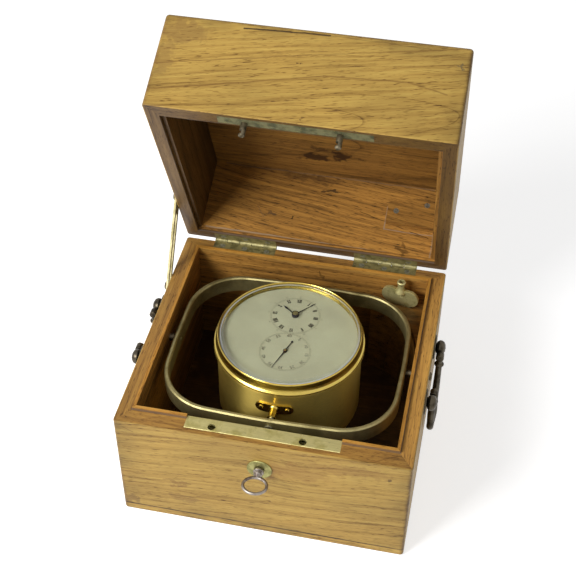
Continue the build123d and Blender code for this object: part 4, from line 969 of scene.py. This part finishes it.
# The lathe's fine rings draw each light out into an upright streak on the bowl's side.
TURNED_BRASS = WorkedMetal("turned_lacquered_brass", bright="#cdb35c", tarnish="#a98f3e",
                           tarnish_share=0.3, spot_share=0.1, rough=0.34, turned=0.95,
                           rough_spread=0.04, stretch=(0.15, 0.15, 1.0), cloud_size=22.0)
# Polished brighter than the bowl, so that it mirrors light and dark in narrow rings.
BEZEL_BRASS = WorkedMetal("polished_bezel_brass", bright="#cbb25c", tarnish="#a58b36",
                          tarnish_share=0.3, spot_share=0.1, rough=0.2, rough_spread=0.06,
                          stretch=(0.15, 0.15, 1.0), cloud_size=22.0)
# Cast winding key, pickled dull and rubbed pale by the thumb.
KEY_BRASS = WorkedMetal("cast_key_brass", bright="#cfc78d", tarnish="#a39b62",
                        tarnish_share=0.4, rough=0.5, metallic=0.8, cloud_size=5.0)
# Handles browned on purpose; only their high spots shine.
DARK_BRONZE = WorkedMetal("browned_bronze", bright="#544d40", tarnish="#2b261d",
                          tarnish_share=0.5, rough=0.32, cloud_size=6.0)
# Studs and pivots turned from rod and never cleaned since.
STUD_BRASS = WorkedMetal("turned_stud_brass", bright="#746a56", tarnish="#3f392b",
                         tarnish_share=0.5, rough=0.42, cloud_size=3.0)
# Filed screw heads, grey with a trace of rust.
SCREW_STEEL = WorkedMetal("worn_screw_steel", bright="#a5a394", tarnish="#6f6d60",
                          tarnish_share=0.4, rough=0.4, metallic=0.9, cloud_size=2.0)
# Hand-forged key, burnished by use and rusted in its hollows.
KEY_STEEL = WorkedMetal("rusted_key_steel", bright="#948c84", tarnish="#5c4d44",
                        tarnish_share=0.5, spot="#4a2e20", spot_share=0.5, rough=0.34,
                        cloud_size=3.5)
# Hands blued over a flame, nearly black from most sides.
BLUED_STEEL = WorkedMetal("blued_steel", bright="#26262b", tarnish="#141318",
                          tarnish_share=0.4, rough=0.3, cloud_size=4.0)
# Movement plates, spotted with a peg and lacquered.
MOVEMENT_BRASS = WorkedMetal("spotted_movement_brass", bright="#dcc076", tarnish="#b4934a",
                             tarnish_share=0.3, rough=0.25, cloud_size=3.0)
DIAL_SILVER = SilveredDial("silvered_dial")
GLASS = CrownGlass("crown_glass")
WAX = EngravingWax("engraving_wax")
WORN_WAX = EngravingWax("worn_engraving_wax", dark="#5c5846", faded="#86826a")

FINISHES: dict[str, Finish] = BOARDS | {node: finish for finish, nodes in (
    (ROLLED_BRASS, "lock_faceplate lock_case lock_bolt"),
    (STAY_BRASS, "stay_arm"),
    (DAMP_BRASS, "strike_plate"),
    (HINGE_BRASS, "body_hinge_leaves lid_hinge_leaves hinge_pins"),
    (ESCUTCHEON_BRASS, "escutcheon"),
    (STUD_BRASS, "strike_studs stay_stud stay_pivot_screw gimbal_pivot_screws"),
    (SCREW_STEEL, "lid_block_screws body_hinge_screws lid_hinge_screws bowl_pivot_pins"),
    (GIMBAL_BRASS, "gimbal_ring"),
    (TURNED_BRASS, "bowl_shell dust_cover"),
    (BEZEL_BRASS, "bezel bowl_trunnions trunnion_screws"),
    (KEY_BRASS, "winding_key"),
    (DARK_BRONZE, "left_bail right_bail handle_posts handle_backplates"),
    (KEY_STEEL, "lock_key detent balance_spring escape_wheel"),
    (BLUED_STEEL, "hour_hand minute_hand seconds_hand"),
    (MOVEMENT_BRASS, "pillar_plate top_plate movement_pillars mainspring_barrel fusee "
                     "centre_wheel third_wheel fourth_wheel balance_wheel balance_cock"),
    (DIAL_SILVER, "dial"),
    (GLASS, "glass"),
) for node in nodes.split()}


def dress(piece: Piece, finish: Finish) -> None:
    """Gives a piece one finish in place of whatever it had."""
    piece.data.materials.clear()
    piece.data.materials.append(finish.build())


def settle(piece: Piece, finish: Finish, node: str, instead: bool = True) -> Piece:
    """Dresses a new piece and lets it ride where a solid of the frame rides.

    Args:
        piece: The new piece, in place in the row frame.
        finish: What it is made of.
        node: The solid whose body it rides with.
        instead: Whether it stands for that solid, which is then hidden.

    Returns:
        The same piece.
    """
    dress(piece, finish)
    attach(piece, frame["nodes"][node]["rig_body"])
    if instead:
        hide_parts(node)
    log.info("made %s in %s", piece.name, finish.name)
    return piece


# Mesh helpers


def add_mesh(name: str, points: Sequence[Sequence[float]], faces: Sequence[Sequence[int]],
             smooth_below: float = EASY_CURVE) -> Piece:
    """Makes a mesh object from points in millimetres.

    Args:
        name: The piece's name.
        points: Corner points.
        faces: Corner numbers of each face.
        smooth_below: Edges that turn by less than this, in degrees, shade smooth.

    Returns:
        The new object, linked to the scene.
    """
    mesh = bpy.data.meshes.new(name)
    mesh.from_pydata([Vector(p) * MM for p in points], [], [list(f) for f in faces])
    mesh.polygons.foreach_set("use_smooth", [True] * len(mesh.polygons))
    mesh.set_sharp_from_angle(angle=radians(smooth_below))
    mesh.update()
    made = bpy.data.objects.new(name, mesh)
    bpy.context.scene.collection.objects.link(made)
    return made


def merged(name: str, pieces: Sequence[Piece]) -> Piece:
    """Joins pieces, texts among them, into one mesh and removes the originals.

    Args:
        name: Name of the joined piece.
        pieces: What goes into it, in place.

    Returns:
        The joined piece.
    """
    bpy.context.view_layer.update()
    graph = bpy.context.evaluated_depsgraph_get()
    points: list[Vector] = []
    faces: list[tuple[int, ...]] = []
    for piece in pieces:
        mesh = bpy.data.meshes.new_from_object(piece.evaluated_get(graph))
        start = len(points)
        points.extend(piece.matrix_world @ v.co / MM for v in mesh.vertices)
        faces.extend(tuple(start + i for i in p.vertices) for p in mesh.polygons)
    for piece in pieces:
        bpy.data.objects.remove(piece)
    return add_mesh(name, points, faces)


def rounded(profile: Sequence[Point], radius: float, closed: bool, steps: int = 4) -> list[Point]:
    """Replaces a profile's corners by small curves, as a file or a scraper does.

    Args:
        profile: The corners, in order.
        radius: How far from a corner each curve starts, in millimetres.
        closed: Whether the last corner runs back to the first.
        steps: Points in each curve.

    Returns:
        The profile with its corners eased.
    """
    made: list[Point] = []
    count = len(profile)
    for i, corner in enumerate(profile):
        if not closed and i in (0, count - 1):
            made.append(corner)
            continue
        here = Vector(corner)
        start, end = (here + run.normalized() * min(radius, run.length * CORNER_SHARE)
                      for run in (Vector(profile[i - 1]) - here,
                                  Vector(profile[(i + 1) % count]) - here))
        for k in range(steps):
            t = k / (steps - 1)
            made.append(tuple(start * (1 - t) ** 2 + here * 2 * t * (1 - t) + end * t ** 2))
    return made


def turned(name: str, profile: Sequence[Point], closed: bool = False, steps: int = 96,
           place: Matrix = Matrix.Identity(4)) -> Piece:
    """Spins a half section about an axis, as on a lathe.

    Args:
        name: The piece's name.
        profile: Radius and height of each corner; open ones start and end on the axis.
        closed: Whether the section is a ring that stays clear of the axis.
        steps: Facets round the axis.
        place: Where the lathe's axis, its own +Z, lies in the row frame, in millimetres.

    Returns:
        The new piece.
    """
    points: list[Vector] = []
    rings: list[list[int]] = []
    for radius, height in profile:
        count = steps if radius > ON_AXIS else 1
        rings.append(list(range(len(points), len(points) + count)))
        points.extend(place @ Vector((radius * cos(2 * pi * k / steps),
                                      radius * sin(2 * pi * k / steps), height))
                      for k in range(count))
    faces = []
    runs = zip(rings, rings[1:] + rings[:1]) if closed else zip(rings, rings[1:])
    for low, high in runs:
        for k in range(steps):
            corners = [low[k % len(low)], low[(k + 1) % len(low)],
                       high[(k + 1) % len(high)], high[k % len(high)]]
            faces.append(tuple(dict.fromkeys(corners)))
    return add_mesh(name, points, faces)


def swept(name: str, path: Sequence[Vector], radii: Sequence[float], closed: bool = False,
          sides: int = 20) -> Piece:
    """Draws a round bar along a path, with its own radius at each point.

    Args:
        name: The piece's name.
        path: The bar's middle line, in millimetres.
        radii: The bar's radius at each point of the path.
        closed: Whether the bar runs back into its start.
        sides: Facets round the bar.

    Returns:
        The new piece.
    """
    count = len(path)
    points: list[Vector] = []
    side = None
    for i, here in enumerate(path):
        before = path[i - 1] if closed or i else here
        after = path[(i + 1) % count] if closed or i < count - 1 else here
        run = (after - before).normalized()
        if side is None:
            side = run.orthogonal().normalized()
        side = (side - run * side.dot(run)).normalized()
        other = run.cross(side)
        points.extend(here + (side * cos(2 * pi * k / sides) + other * sin(2 * pi * k / sides))
                      * radii[i] for k in range(sides))
    faces = []
    for i in range(count if closed else count - 1):
        low, high = i * sides, (i + 1) % count * sides
        faces.extend((low + k, low + (k + 1) % sides, high + (k + 1) % sides, high + k)
                     for k in range(sides))
    if not closed:
        faces.append(tuple(reversed(range(sides))))
        faces.append(tuple((count - 1) * sides + k for k in range(sides)))
    return add_mesh(name, points, faces)


def cornered_path(corners: Sequence[Vector], radius: float, pitch: float = 1.0,
                  bend_steps: int = 8) -> list[Vector]:
    """Returns close points along straight runs joined by round bends.

    Args:
        corners: The runs' ends and the corners between them, in millimetres.
        radius: The bends' radius; the corners are right angles.
        pitch: Distance between neighbouring points.
        bend_steps: Chords in each bend.

    Returns:
        The points.
    """
    stations: list[Vector] = [corners[0]]
    for before, corner, after in zip(corners, corners[1:], corners[2:]):
        back, on = (before - corner).normalized(), (after - corner).normalized()
        middle = corner + (back + on) * radius
        for k in range(bend_steps + 1):
            turn = pi / 2 * k / bend_steps
            stations.append(middle - on * radius * cos(turn) - back * radius * sin(turn))
    stations.append(corners[-1])
    path = [stations[0]]
    for start, end in zip(stations, stations[1:]):
        parts = max(1, round((end - start).length / pitch))
        path.extend(start.lerp(end, (k + 1) / parts) for k in range(parts))
    return path


# Fittings and blocks that keep their solid's shape, with its edges broken


@dataclass(frozen=True)
class EasedFitting:
    """A solid of the frame whose machined or planed edges are broken, so that they catch light."""

    node: str
    edge: float
    steps: int = 2
    flat_within: float = 1.5
    break_from: float = 32.0

    def build(self, finish: Finish) -> Piece:
        """Copies the solid, joins its facets and bevels its edges.

        Args:
            finish: What the fitting is made of.

        Returns:
            The finished piece, standing for the solid.
        """
        source = frame["nodes"][self.node].data
        piece = add_mesh(self.node + "_eased", [v.co / MM for v in source.vertices],
                         [tuple(p.vertices) for p in source.polygons], ALL_SMOOTH)
        work = bmesh.new()
        work.from_mesh(piece.data)
        bmesh.ops.remove_doubles(work, verts=work.verts, dist=0.002 * MM)
        bmesh.ops.dissolve_limit(work, angle_limit=radians(self.flat_within),
                                 verts=work.verts, edges=work.edges)
        work.to_mesh(piece.data)
        work.free()
        bevel = piece.modifiers.new("broken_edges", "BEVEL")
        bevel.width = self.edge * MM
        bevel.segments = self.steps
        bevel.limit_method = "ANGLE"
        bevel.angle_limit = radians(self.break_from)
        bevel.use_clamp_overlap = True
        shade = piece.modifiers.new("flat_faces", "WEIGHTED_NORMAL")
        shade.keep_sharp = False
        return settle(piece, finish, self.node)


# The width of each broken edge in millimetres, and the facets across it.
EASED: tuple[EasedFitting, ...] = tuple(EasedFitting(node, edge, steps) for edge, steps, nodes in (
    (1.1, 4, "gimbal_ring"),
    (0.22, 2, "lock_faceplate"),
    (0.2, 2, "strike_plate body_hinge_leaves lid_hinge_leaves escutcheon"),
    (0.3, 2, "bowl_trunnions"),
    (0.15, 2, "trunnion_screws"),
    (0.2, 2, "gimbal_pivot_screws"),
    (0.4, 2, "handle_posts"),
    (0.2, 2, "handle_backplates"),
    (0.15, 2, "strike_studs"),
    (0.3, 2, "stay_arm"),
    (0.25, 2, "stay_stud stay_pivot_screw"),
    (0.6, 2, "lid_block"),
    (0.4, 2, "key_block"),
    (0.1, 2, "lid_block_screws body_hinge_screws lid_hinge_screws"),
    (0.4, 3, "winding_key"),
    (0.06, 2, "hour_hand minute_hand seconds_hand"),
) for node in nodes.split())


# The glazed bezel


@dataclass
class GlazedBezel:
    """The polished bezel ring with its crystal, both turned about the bowl's axis."""

    flange_r: float = 47.8
    top_r: float = 45.7
    bore: float = 44.2
    glass_r: float = 44.4
    sight_r: float = 43.9
    throat_r: float = 41.9
    low: float = 88.8
    top: float = 96.6
    glass_low: float = 94.4
    glass_high: float = 96.2
    dial_room: float = 92.05
    bevel_wide: float = 3.1
    bevel_deep: float = 1.0
    facets: int = 192

    def ring(self) -> Piece:
        """Turns the bezel: a lipped foot, a cove, a rounded top and a flared throat.

        Returns:
            The ring, standing for the bezel.
        """
        cove = self.flange_r - self.top_r
        section = [(self.bore, self.low), (self.flange_r, self.low),
                   (self.flange_r, self.low + 1.1), (self.top_r + 0.4 * cove, self.low + 2.0),
                   (self.top_r + 0.1 * cove, self.low + 3.8), (self.top_r, self.top - 0.7),
                   (self.top_r - 0.5, self.top), (self.top_r - 0.8, self.top),
                   (self.glass_r, self.top - 0.7), (self.glass_r, self.glass_low),
                   (self.sight_r, self.glass_low), (self.throat_r, self.dial_room),
                   (self.bore, self.dial_room)]
        ring = turned("bezel_ring", rounded(section, 0.45, True), True, self.facets)
        return settle(ring, BEZEL_BRASS, "bezel")

    def crystal(self) -> Piece:
        """Turns the crystal: flat, with a broad bevel and a ground edge.

        Returns:
            The crystal, standing for the glass.
        """
        section = [(0.0, self.glass_low), (self.glass_r - 0.02, self.glass_low),
                   (self.glass_r - 0.02, self.glass_high - self.bevel_deep),
                   (self.glass_r - self.bevel_wide, self.glass_high), (0.0, self.glass_high)]
        crystal = turned("crystal", rounded(section, 0.12, False), False, self.facets)
        return settle(crystal, GLASS, "glass")

    def build(self) -> None:
        """Makes the ring and its crystal."""
        self.ring()
        self.crystal()


# Lock key


@dataclass
class LockKey:
    """A pipe key with a turned stem and an oval bow of round wire."""

    x: float = -0.6
    z: float = 63.9
    wall: float = 85.9
    shank_r: float = 2.4
    pipe_r: float = 1.3
    pipe_end: float = 81.0
    bit_back: float = 75.4
    bit_long: float = 2.8
    bit_reach: float = 6.8
    bit_half: float = 1.0
    bow_y: float = 97.6
    bow_half_wide: float = 8.1
    bow_half_long: float = 6.85
    wire_r: float = 0.95
    collar_r: float = 3.3
    waist_r: float = 2.0
    bead_r: float = 2.65
    root_r: float = 1.2

    def stem(self) -> Piece:
        """Turns the stem: pipe, collar, waist with a bead, and a taper to the bow.

        Returns:
            The stem.
        """
        wall = self.wall
        root = self.bow_y - self.bow_half_long + self.wire_r
        section = [(0.0, self.pipe_end), (self.pipe_r, self.pipe_end),
                   (self.pipe_r, self.bit_back), (self.shank_r, self.bit_back),
                   (self.shank_r, wall + 0.3), (self.collar_r, wall + 0.6),
                   (self.collar_r, wall + 1.9), (self.waist_r + 0.1, wall + 2.3),
                   (self.waist_r, wall + 2.9), (self.bead_r, wall + 3.2),
                   (self.bead_r, wall + 3.9), (self.waist_r - 0.1, wall + 4.3),
                   (self.root_r + 0.25, root - 0.4), (self.root_r, root), (0.0, root)]
        place = Matrix.Translation((self.x, 0, self.z)) @ Matrix.Rotation(pi / 2, 4, "X")
        return turned("key_stem", rounded(section, 0.3, False), False, 40, place)

    def bow(self) -> Piece:
        """Bends the oval bow.

        Returns:
            The bow.
        """
        count = 72
        wide, long = self.bow_half_wide - self.wire_r, self.bow_half_long - self.wire_r
        path = [Vector((self.x + wide * cos(2 * pi * k / count),
                        -self.bow_y + long * sin(2 * pi * k / count), self.z))
                for k in range(count)]
        return swept("key_bow", path, [self.wire_r] * count, True)

    def bit(self) -> Piece:
        """Cuts the plain bit that throws the bolt.

        Returns:
            The bit.
        """
        reach, back = self.x - self.bit_reach, -self.bit_back
        root = self.x - self.shank_r + 0.6
        points = [(x, y, self.z + up) for x in (reach, root)
                  for y in (back - self.bit_long, back) for up in (-self.bit_half, self.bit_half)]
        faces = [(0, 1, 3, 2), (4, 6, 7, 5), (0, 4, 5, 1), (2, 3, 7, 6), (0, 2, 6, 4),
                 (1, 5, 7, 3)]
        return add_mesh("key_bit", points, faces)

    def build(self) -> Piece:
        """Joins stem, bow and bit into the key."""
        key = merged("pipe_key", [self.stem(), self.bow(), self.bit()])
        return settle(key, KEY_STEEL, "lock_key")


# Side handles


@dataclass
class DropHandle:
    """A bail that hangs from two posts: eyes, collared legs and a swollen grip."""

    side: int
    node: str
    x: float = 94.6
    eye_z: float = 77.5
    post_y: float = 23.8
    leg_y: float = 16.1
    low: float = 42.8
    bend: float = 5.5
    bar_r: float = 2.3
    neck_r: float = 1.9
    swell: float = 3.0
    collar_r: float = 3.1
    collar_low: float = 6.7
    eye_r: float = 2.6
    pin_r: float = 1.3
    pin_reach: float = 1.4

    def radius_at(self, point: Vector) -> float:
        """Swells the bar: thin under the eyes, thick in the middle of the grip.

        Args:
            point: A point of the bar's middle line, in millimetres.

        Returns:
            The radius, in millimetres.
        """
        if point.z > self.low + self.bend:
            share = min(1.0, (self.eye_z - point.z) / (self.eye_z - self.low - self.bend))
            return self.neck_r + (self.bar_r - self.neck_r) * share
        share = max(0.0, 1 - abs(point.y) / (self.leg_y - self.bend * 0.5))
        return self.bar_r + (self.swell - self.bar_r) * sin(share * pi / 2) ** 2

    def bar(self) -> Piece:
        """Sweeps legs and grip as one bar.

        Returns:
            The bar.
        """
        x = self.side * self.x
        corners = [Vector((x, -self.leg_y, self.eye_z)), Vector((x, -self.leg_y, self.low)),
                   Vector((x, self.leg_y, self.low)), Vector((x, self.leg_y, self.eye_z))]
        path = cornered_path(corners, self.bend)
        return swept("bail_bar", path, [self.radius_at(p) for p in path])

    def end(self, sign: int) -> list[Piece]:
        """Turns one leg's collar, and the eye with its pin.

        Args:
            sign: 1 for the leg at the back, -1 for the one in front.

        Returns:
            The collar and the eye.
        """
        at = Matrix.Translation((self.side * self.x, sign * self.leg_y, self.eye_z))
        low = -self.collar_low
        collar = [(0, low - 1.5), (self.neck_r, low - 1.4), (self.collar_r * 0.8, low - 0.9),
                  (self.collar_r, low - 0.4), (self.collar_r, low + 0.2),
                  (self.collar_r * 0.8, low + 0.7), (self.neck_r, low + 1.1), (0, low + 1.2)]
        half = self.bar_r + 0.15
        reach = self.post_y + self.pin_reach - self.leg_y
        eye = [(0, -half), (self.eye_r, -half), (self.eye_r, half), (self.pin_r, half),
               (self.pin_r, reach), (0, reach)]
        outward = at @ Matrix.Rotation(-sign * pi / 2, 4, "X")
        return [turned("bail_collar", rounded(collar, 0.25, False), False, 32, at),
                turned("bail_eye", rounded(eye, 0.5, False), False, 32, outward)]

    def build(self) -> Piece:
        """Joins the bail's parts."""
        bail = merged(self.node + "_turned", [self.bar(), *self.end(-1), *self.end(1)])
        return settle(bail, DARK_BRONZE, self.node)


# The dial's engraving

FIFTHS = range(5, 61, 5)
ROMAN = ("XII", "I", "II", "III", "IIII", "V", "VI", "VII", "VIII", "IX", "X", "XI")


@dataclass
class Marks:
    """Flat raised strokes on the dial, gathered into one mesh."""

    level: float
    high: float = 0.03
    points: list[Place] = field(default_factory=list)
    faces: list[tuple[int, ...]] = field(default_factory=list)

    def plate(self, outline: Sequence[Point]) -> None:
        """Adds one closed outline as a thin plate.

        Args:
            outline: Its corners, in order against the clock, in millimetres.
        """
        start, count = len(self.points), len(outline)
        for z in (self.level, self.level + self.high):
            self.points.extend((x, y, z) for x, y in outline)
        self.faces.append(tuple(start + i for i in reversed(range(count))))
        self.faces.append(tuple(start + count + i for i in range(count)))
        for i in range(count):
            j = (i + 1) % count
            self.faces.append((start + i, start + j, start + count + j, start + count + i))

    def stroke(self, a: Point, b: Point, wide: float) -> None:
        """Adds a straight stroke.

        Args:
            a: Where it starts, in millimetres.
            b: Where it ends.
            wide: Its width.
        """
        first, last = Vector(a), Vector(b)
        run = (last - first).normalized()
        side = Vector((-run.y, run.x)) * wide / 2
        self.plate([tuple(first - side), tuple(last - side), tuple(last + side),
                    tuple(first + side)])

    def ring(self, centre: Point, radius: float, wide: float, count: int = 120) -> None:
        """Adds a thin circle as short strokes that share their ends.

        Args:
            centre: The circle's middle, in millimetres.
            radius: Its middle radius.
            wide: The line's width.
            count: How many strokes.
        """
        for i in range(count):
            a, b = 2 * pi * i / count, 2 * pi * (i + 1) / count
            inner, outer = radius - wide / 2, radius + wide / 2
            self.plate([(centre[0] + r * cos(t), centre[1] + r * sin(t))
                        for r, t in ((inner, a), (outer, a), (outer, b), (inner, b))])


@dataclass
class DialEngraving:
    """Two chapter rings on the silvered plate: hours and minutes above, seconds below."""

    hours_centre: Point = (0.0, 17.99)
    seconds_centre: Point = (0.0, -13.89)
    numeral_r: float = 13.2
    numeral_high: float = 2.7
    thick: float = 0.62
    thin: float = 0.26
    track_r: float = 15.6
    track_wide: float = 0.7
    line: float = 0.13
    seconds_numeral_r: float = 13.6
    seconds_size: float = 3.1
    minutes_size: float = 1.4
    letter_widths: tuple[tuple[str, float], ...] = (("I", 0.78), ("V", 1.45), ("X", 1.55))
    letter_room: float = 0.25
    serif_room: float = 0.05
    serif_share: float = 0.8
    fifth_longer: float = 0.5
    minutes_out: float = 1.6
    figure_high: float = 0.015

    def roman(self, marks: Marks, text: str, centre: Point, turn: float) -> None:
        """Draws one Roman numeral with its serifs.

        Args:
            marks: What the strokes are added to.
            text: The numeral, in I, V and X.
            centre: The numeral's middle, in millimetres.
            turn: Its turn from upright, in radians.
        """
        widths = dict(self.letter_widths)
        across = -sum(widths[c] for c in text) / 2
        half = self.numeral_high / 2

        def put(x: float, y: float) -> Point:
            """Returns a point of the upright numeral where it lies on the dial."""
            return (centre[0] + x * cos(turn) - y * sin(turn),
                    centre[1] + x * sin(turn) + y * cos(turn))

        for letter in text:
            middle = across + widths[letter] / 2
            lean = widths[letter] / 2 - self.letter_room
            if letter == "I":
                marks.stroke(put(middle, -half), put(middle, half), self.thick)
            elif letter == "V":
                marks.stroke(put(middle - lean, half), put(middle, -half), self.thick)
                marks.stroke(put(middle + lean, half), put(middle, -half), self.thin)
            else:
                marks.stroke(put(middle - lean, half), put(middle + lean, -half), self.thick)
                marks.stroke(put(middle + lean, half), put(middle - lean, -half), self.thin)
            across += widths[letter]
        reach = sum(widths[c] for c in text) / 2 - self.serif_room
        for y in (-half, half):
            marks.stroke(put(-reach, y), put(reach, y), self.thin * self.serif_share)

    def track(self, marks: Marks, centre: Point) -> None:
        """Draws the double circle and its sixty divisions, every fifth one longer.

        Args:
            marks: What the lines are added to.
            centre: The circles' middle.
        """
        inner, outer = self.track_r - self.track_wide / 2, self.track_r + self.track_wide / 2
        marks.ring(centre, inner, self.line)
        marks.ring(centre, outer, self.line)
        for i in range(60):
            turn = 2 * pi * i / 60
            reach = outer + (self.fifth_longer if i % 5 == 0 else 0)
            marks.stroke((centre[0] + inner * cos(turn), centre[1] + inner * sin(turn)),
                         (centre[0] + reach * cos(turn), centre[1] + reach * sin(turn)),
                         self.line)

    def figures(self, centre: Point, radius: float, size: float, values: Sequence[int],
                level: float) -> list[Piece]:
        """Sets Arabic figures round a circle, clockwise from twelve, each upright outwards.

        Args:
            centre: The circle's middle, in millimetres.
            radius: The circle's radius.
            size: The figures' height.
            values: The figures, in sixtieths of the circle.
            level: The height that they lie at.

        Returns:
            The figures, as texts.
        """
        made = []
        for value in values:
            turn = pi / 2 - 2 * pi * value / 60
            curve = bpy.data.curves.new(f"figure_{value}", "FONT")
            curve.body = str(value)
            curve.size = size * MM
            curve.align_x = curve.align_y = "CENTER"
            curve.extrude = self.figure_high * MM
            curve.resolution_u = 3
            text = bpy.data.objects.new(curve.name, curve)
            bpy.context.scene.collection.objects.link(text)
            text.location = (MM * (centre[0] + radius * cos(turn)),
                             MM * (centre[1] + radius * sin(turn)), MM * (level + 0.02))
            text.rotation_euler = (0, 0, turn - pi / 2)
            made.append(text)
        return made

    def build(self) -> None:
        """Makes the numerals in full black and the tracks as fine, worn lines."""
        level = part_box("dial")[1].z / MM + 0.01
        numerals, tracks = Marks(level), Marks(level)
        for i, text in enumerate(ROMAN):
            turn = pi / 2 - 2 * pi * i / 12
            centre = (self.hours_centre[0] + self.numeral_r * cos(turn),
                      self.hours_centre[1] + self.numeral_r * sin(turn))
            self.roman(numerals, text, centre, turn - pi / 2)
        for centre in (self.hours_centre, self.seconds_centre):
            self.track(tracks, centre)
        romans = add_mesh("roman_hours", numerals.points, numerals.faces, CREASED)
        seconds = self.figures(self.seconds_centre, self.seconds_numeral_r,
                               self.seconds_size, FIFTHS, level)
        settle(merged("dial_numerals", [romans, *seconds]), WAX, "dial", False)
        lines = add_mesh("track_lines", tracks.points, tracks.faces, CREASED)
        minutes = self.figures(self.hours_centre, self.track_r + self.minutes_out,
                               self.minutes_size, FIFTHS, level)
        settle(merged("dial_tracks", [lines, *minutes]), WORN_WAX, "dial", False)


@dataclass
class CentreCap:
    """The brass cap on the collet that holds the hour and minute hands."""

    y: float = 17.99
    low: float = 94.02
    radius: float = 2.1
    high: float = 0.3

    def build(self) -> Piece:
        """Turns the cap as a low dome that rides with the minute hand.

        Returns:
            The cap.
        """
        dome = [(0.0, self.low), (self.radius, self.low), (self.radius, self.low + 0.12),
                (self.radius * 0.7, self.low + self.high * 0.8), (0.0, self.low + self.high)]
        cap = turned("hand_cap", rounded(dome, 0.1, False), False, 48,
                     Matrix.Translation((0, self.y, 0)))
        return settle(cap, GIMBAL_BRASS, "minute_hand", False)


# Studio


@dataclass(frozen=True)
class Lamp:
    """One square soft light that faces the box: place and size in metres, power in watts."""

    name: str
    place: Place
    size: float
    power: float
    aim: Place = (0.0, 0.0, 0.1)

    def build(self) -> None:
        """Hangs the lamp and turns it to the box."""
        data = bpy.data.lights.new(self.name, "AREA")
        data.size = self.size
        data.energy = self.power
        made = bpy.data.objects.new(self.name, data)
        made.location = self.place
        made.rotation_mode = "QUATERNION"
        run = Vector(self.aim) - Vector(self.place)
        made.rotation_quaternion = run.to_track_quat("-Z", "Y")
        bpy.context.scene.collection.objects.link(made)


@dataclass
class Studio:
    """White table, soft light and a camera where the photographer stood.

    The camera's place and the table's reach are in millimetres, its angles in degrees.
    """

    eye: Place = (105.49, -519.19, 637.45)
    azimuth: float = 11.61
    elevation: float = 43.54
    roll: float = 0.27
    lens: float = 75.28
    sensor: float = 36.0
    fill: float = 0.25
    table_glow: float = 0.66
    table_half: float = 3000.0
    lamps: tuple[Lamp, ...] = (
        Lamp("key_light", (-0.56, -0.74, 0.74), 0.4, 9.2),
        Lamp("left_light", (-0.8, -0.6, 0.8), 0.2, 3.6),
    )

    def camera(self) -> None:
        """Places the camera by its solved position and angles."""
        turn, lift = radians(self.azimuth), radians(self.elevation)
        back = Vector((sin(turn) * cos(lift), -cos(turn) * cos(lift), sin(lift)))
        right = (-back).cross(Vector((0, 0, 1))).normalized()
        up = right.cross(-back).normalized()
        lean = radians(self.roll)
        level = right * cos(lean) + up * sin(lean)
        upright = -right * sin(lean) + up * cos(lean)
        data = bpy.data.cameras.new("camera")
        data.sensor_width = self.sensor
        data.lens = self.lens
        made = bpy.data.objects.new("camera", data)
        turned_to = Matrix((level, upright, back)).transposed().to_4x4()
        made.matrix_world = Matrix.Translation(Vector(self.eye) * MM) @ turned_to
        bpy.context.scene.collection.objects.link(made)
        bpy.context.scene.camera = made

    def seen(self, tree: Tree) -> Socket:
        """Tells rays from the eye, off a gloss or through glass from all others.

        Args:
            tree: The node tree of the material or the world.

        Returns:
            The socket, 1 for those rays and 0 for the light that falls on things.
        """
        path = add_node(tree, "LightPath").outputs
        return folded(tree, "MAXIMUM", (path["Is Glossy Ray"], path["Is Transmission Ray"],
                                        path["Is Camera Ray"]))

    def world(self) -> None:
        """Lights from all round, and shows pure white to eye, metal and glass."""
        world = bpy.data.worlds.new("studio")
        bpy.context.scene.world = world
        tree = bare_tree(world)
        strength = add_node(tree, "MapRange", {"Value": self.seen(tree), "To Min": self.fill,
                                               "To Max": 1.0}).outputs[0]
        sky = add_node(tree, "Background", {"Color": linear("#ffffff"),
                                            "Strength": strength}).outputs[0]
        add_node(tree, "OutputWorld", {"Surface": sky})

    def floor(self) -> None:
        """Lays a large pale table top that glows a little for the eye, so it shows white."""
        half = self.table_half
        table = add_mesh("table_top", [(-half, -half, 0), (half, -half, 0), (half, half, 0),
                                       (-half, half, 0)], [(0, 1, 2, 3)])
        material = bpy.data.materials.new("white_table")
        tree = bare_tree(material)
        paper = add_node(tree, "BsdfDiffuse", {"Color": linear("#f2f2f2")}).outputs[0]
        glow = add_node(tree, "MapRange", {"Value": self.seen(tree),
                                           "To Max": self.table_glow}).outputs[0]
        light = add_node(tree, "Emission", {"Color": linear("#ffffff"),
                                            "Strength": glow}).outputs[0]
        both = add_node(tree, "AddShader", {0: paper, 1: light}).outputs[0]
        add_node(tree, "OutputMaterial", {"Surface": both})
        table.data.materials.append(material)

    def build(self) -> None:
        """Sets up table, light and camera."""
        self.floor()
        self.world()
        for lamp in self.lamps:
            lamp.build()
        self.camera()
        bpy.context.scene.view_settings.view_transform = "Standard"


def dress_nodes() -> None:
    """Gives every solid of the frame the finish of its real material."""
    for name, node in frame["nodes"].items():
        finish = FINISHES[name]
        dress(node, finish)
        log.info("dressed %s with %s", name, finish.name)


def main() -> None:
    """Builds the scene piece by piece."""
    logging.basicConfig(level=logging.INFO)
    Studio().build()
    dress_nodes()
    for fitting in EASED:
        fitting.build(FINISHES[fitting.node])
    GlazedBezel().build()
    LockKey().build()
    DropHandle(1, "right_bail").build()
    DropHandle(-1, "left_bail").build()
    CentreCap().build()
    DialEngraving().build()


if __name__ == "__main__":
    main()
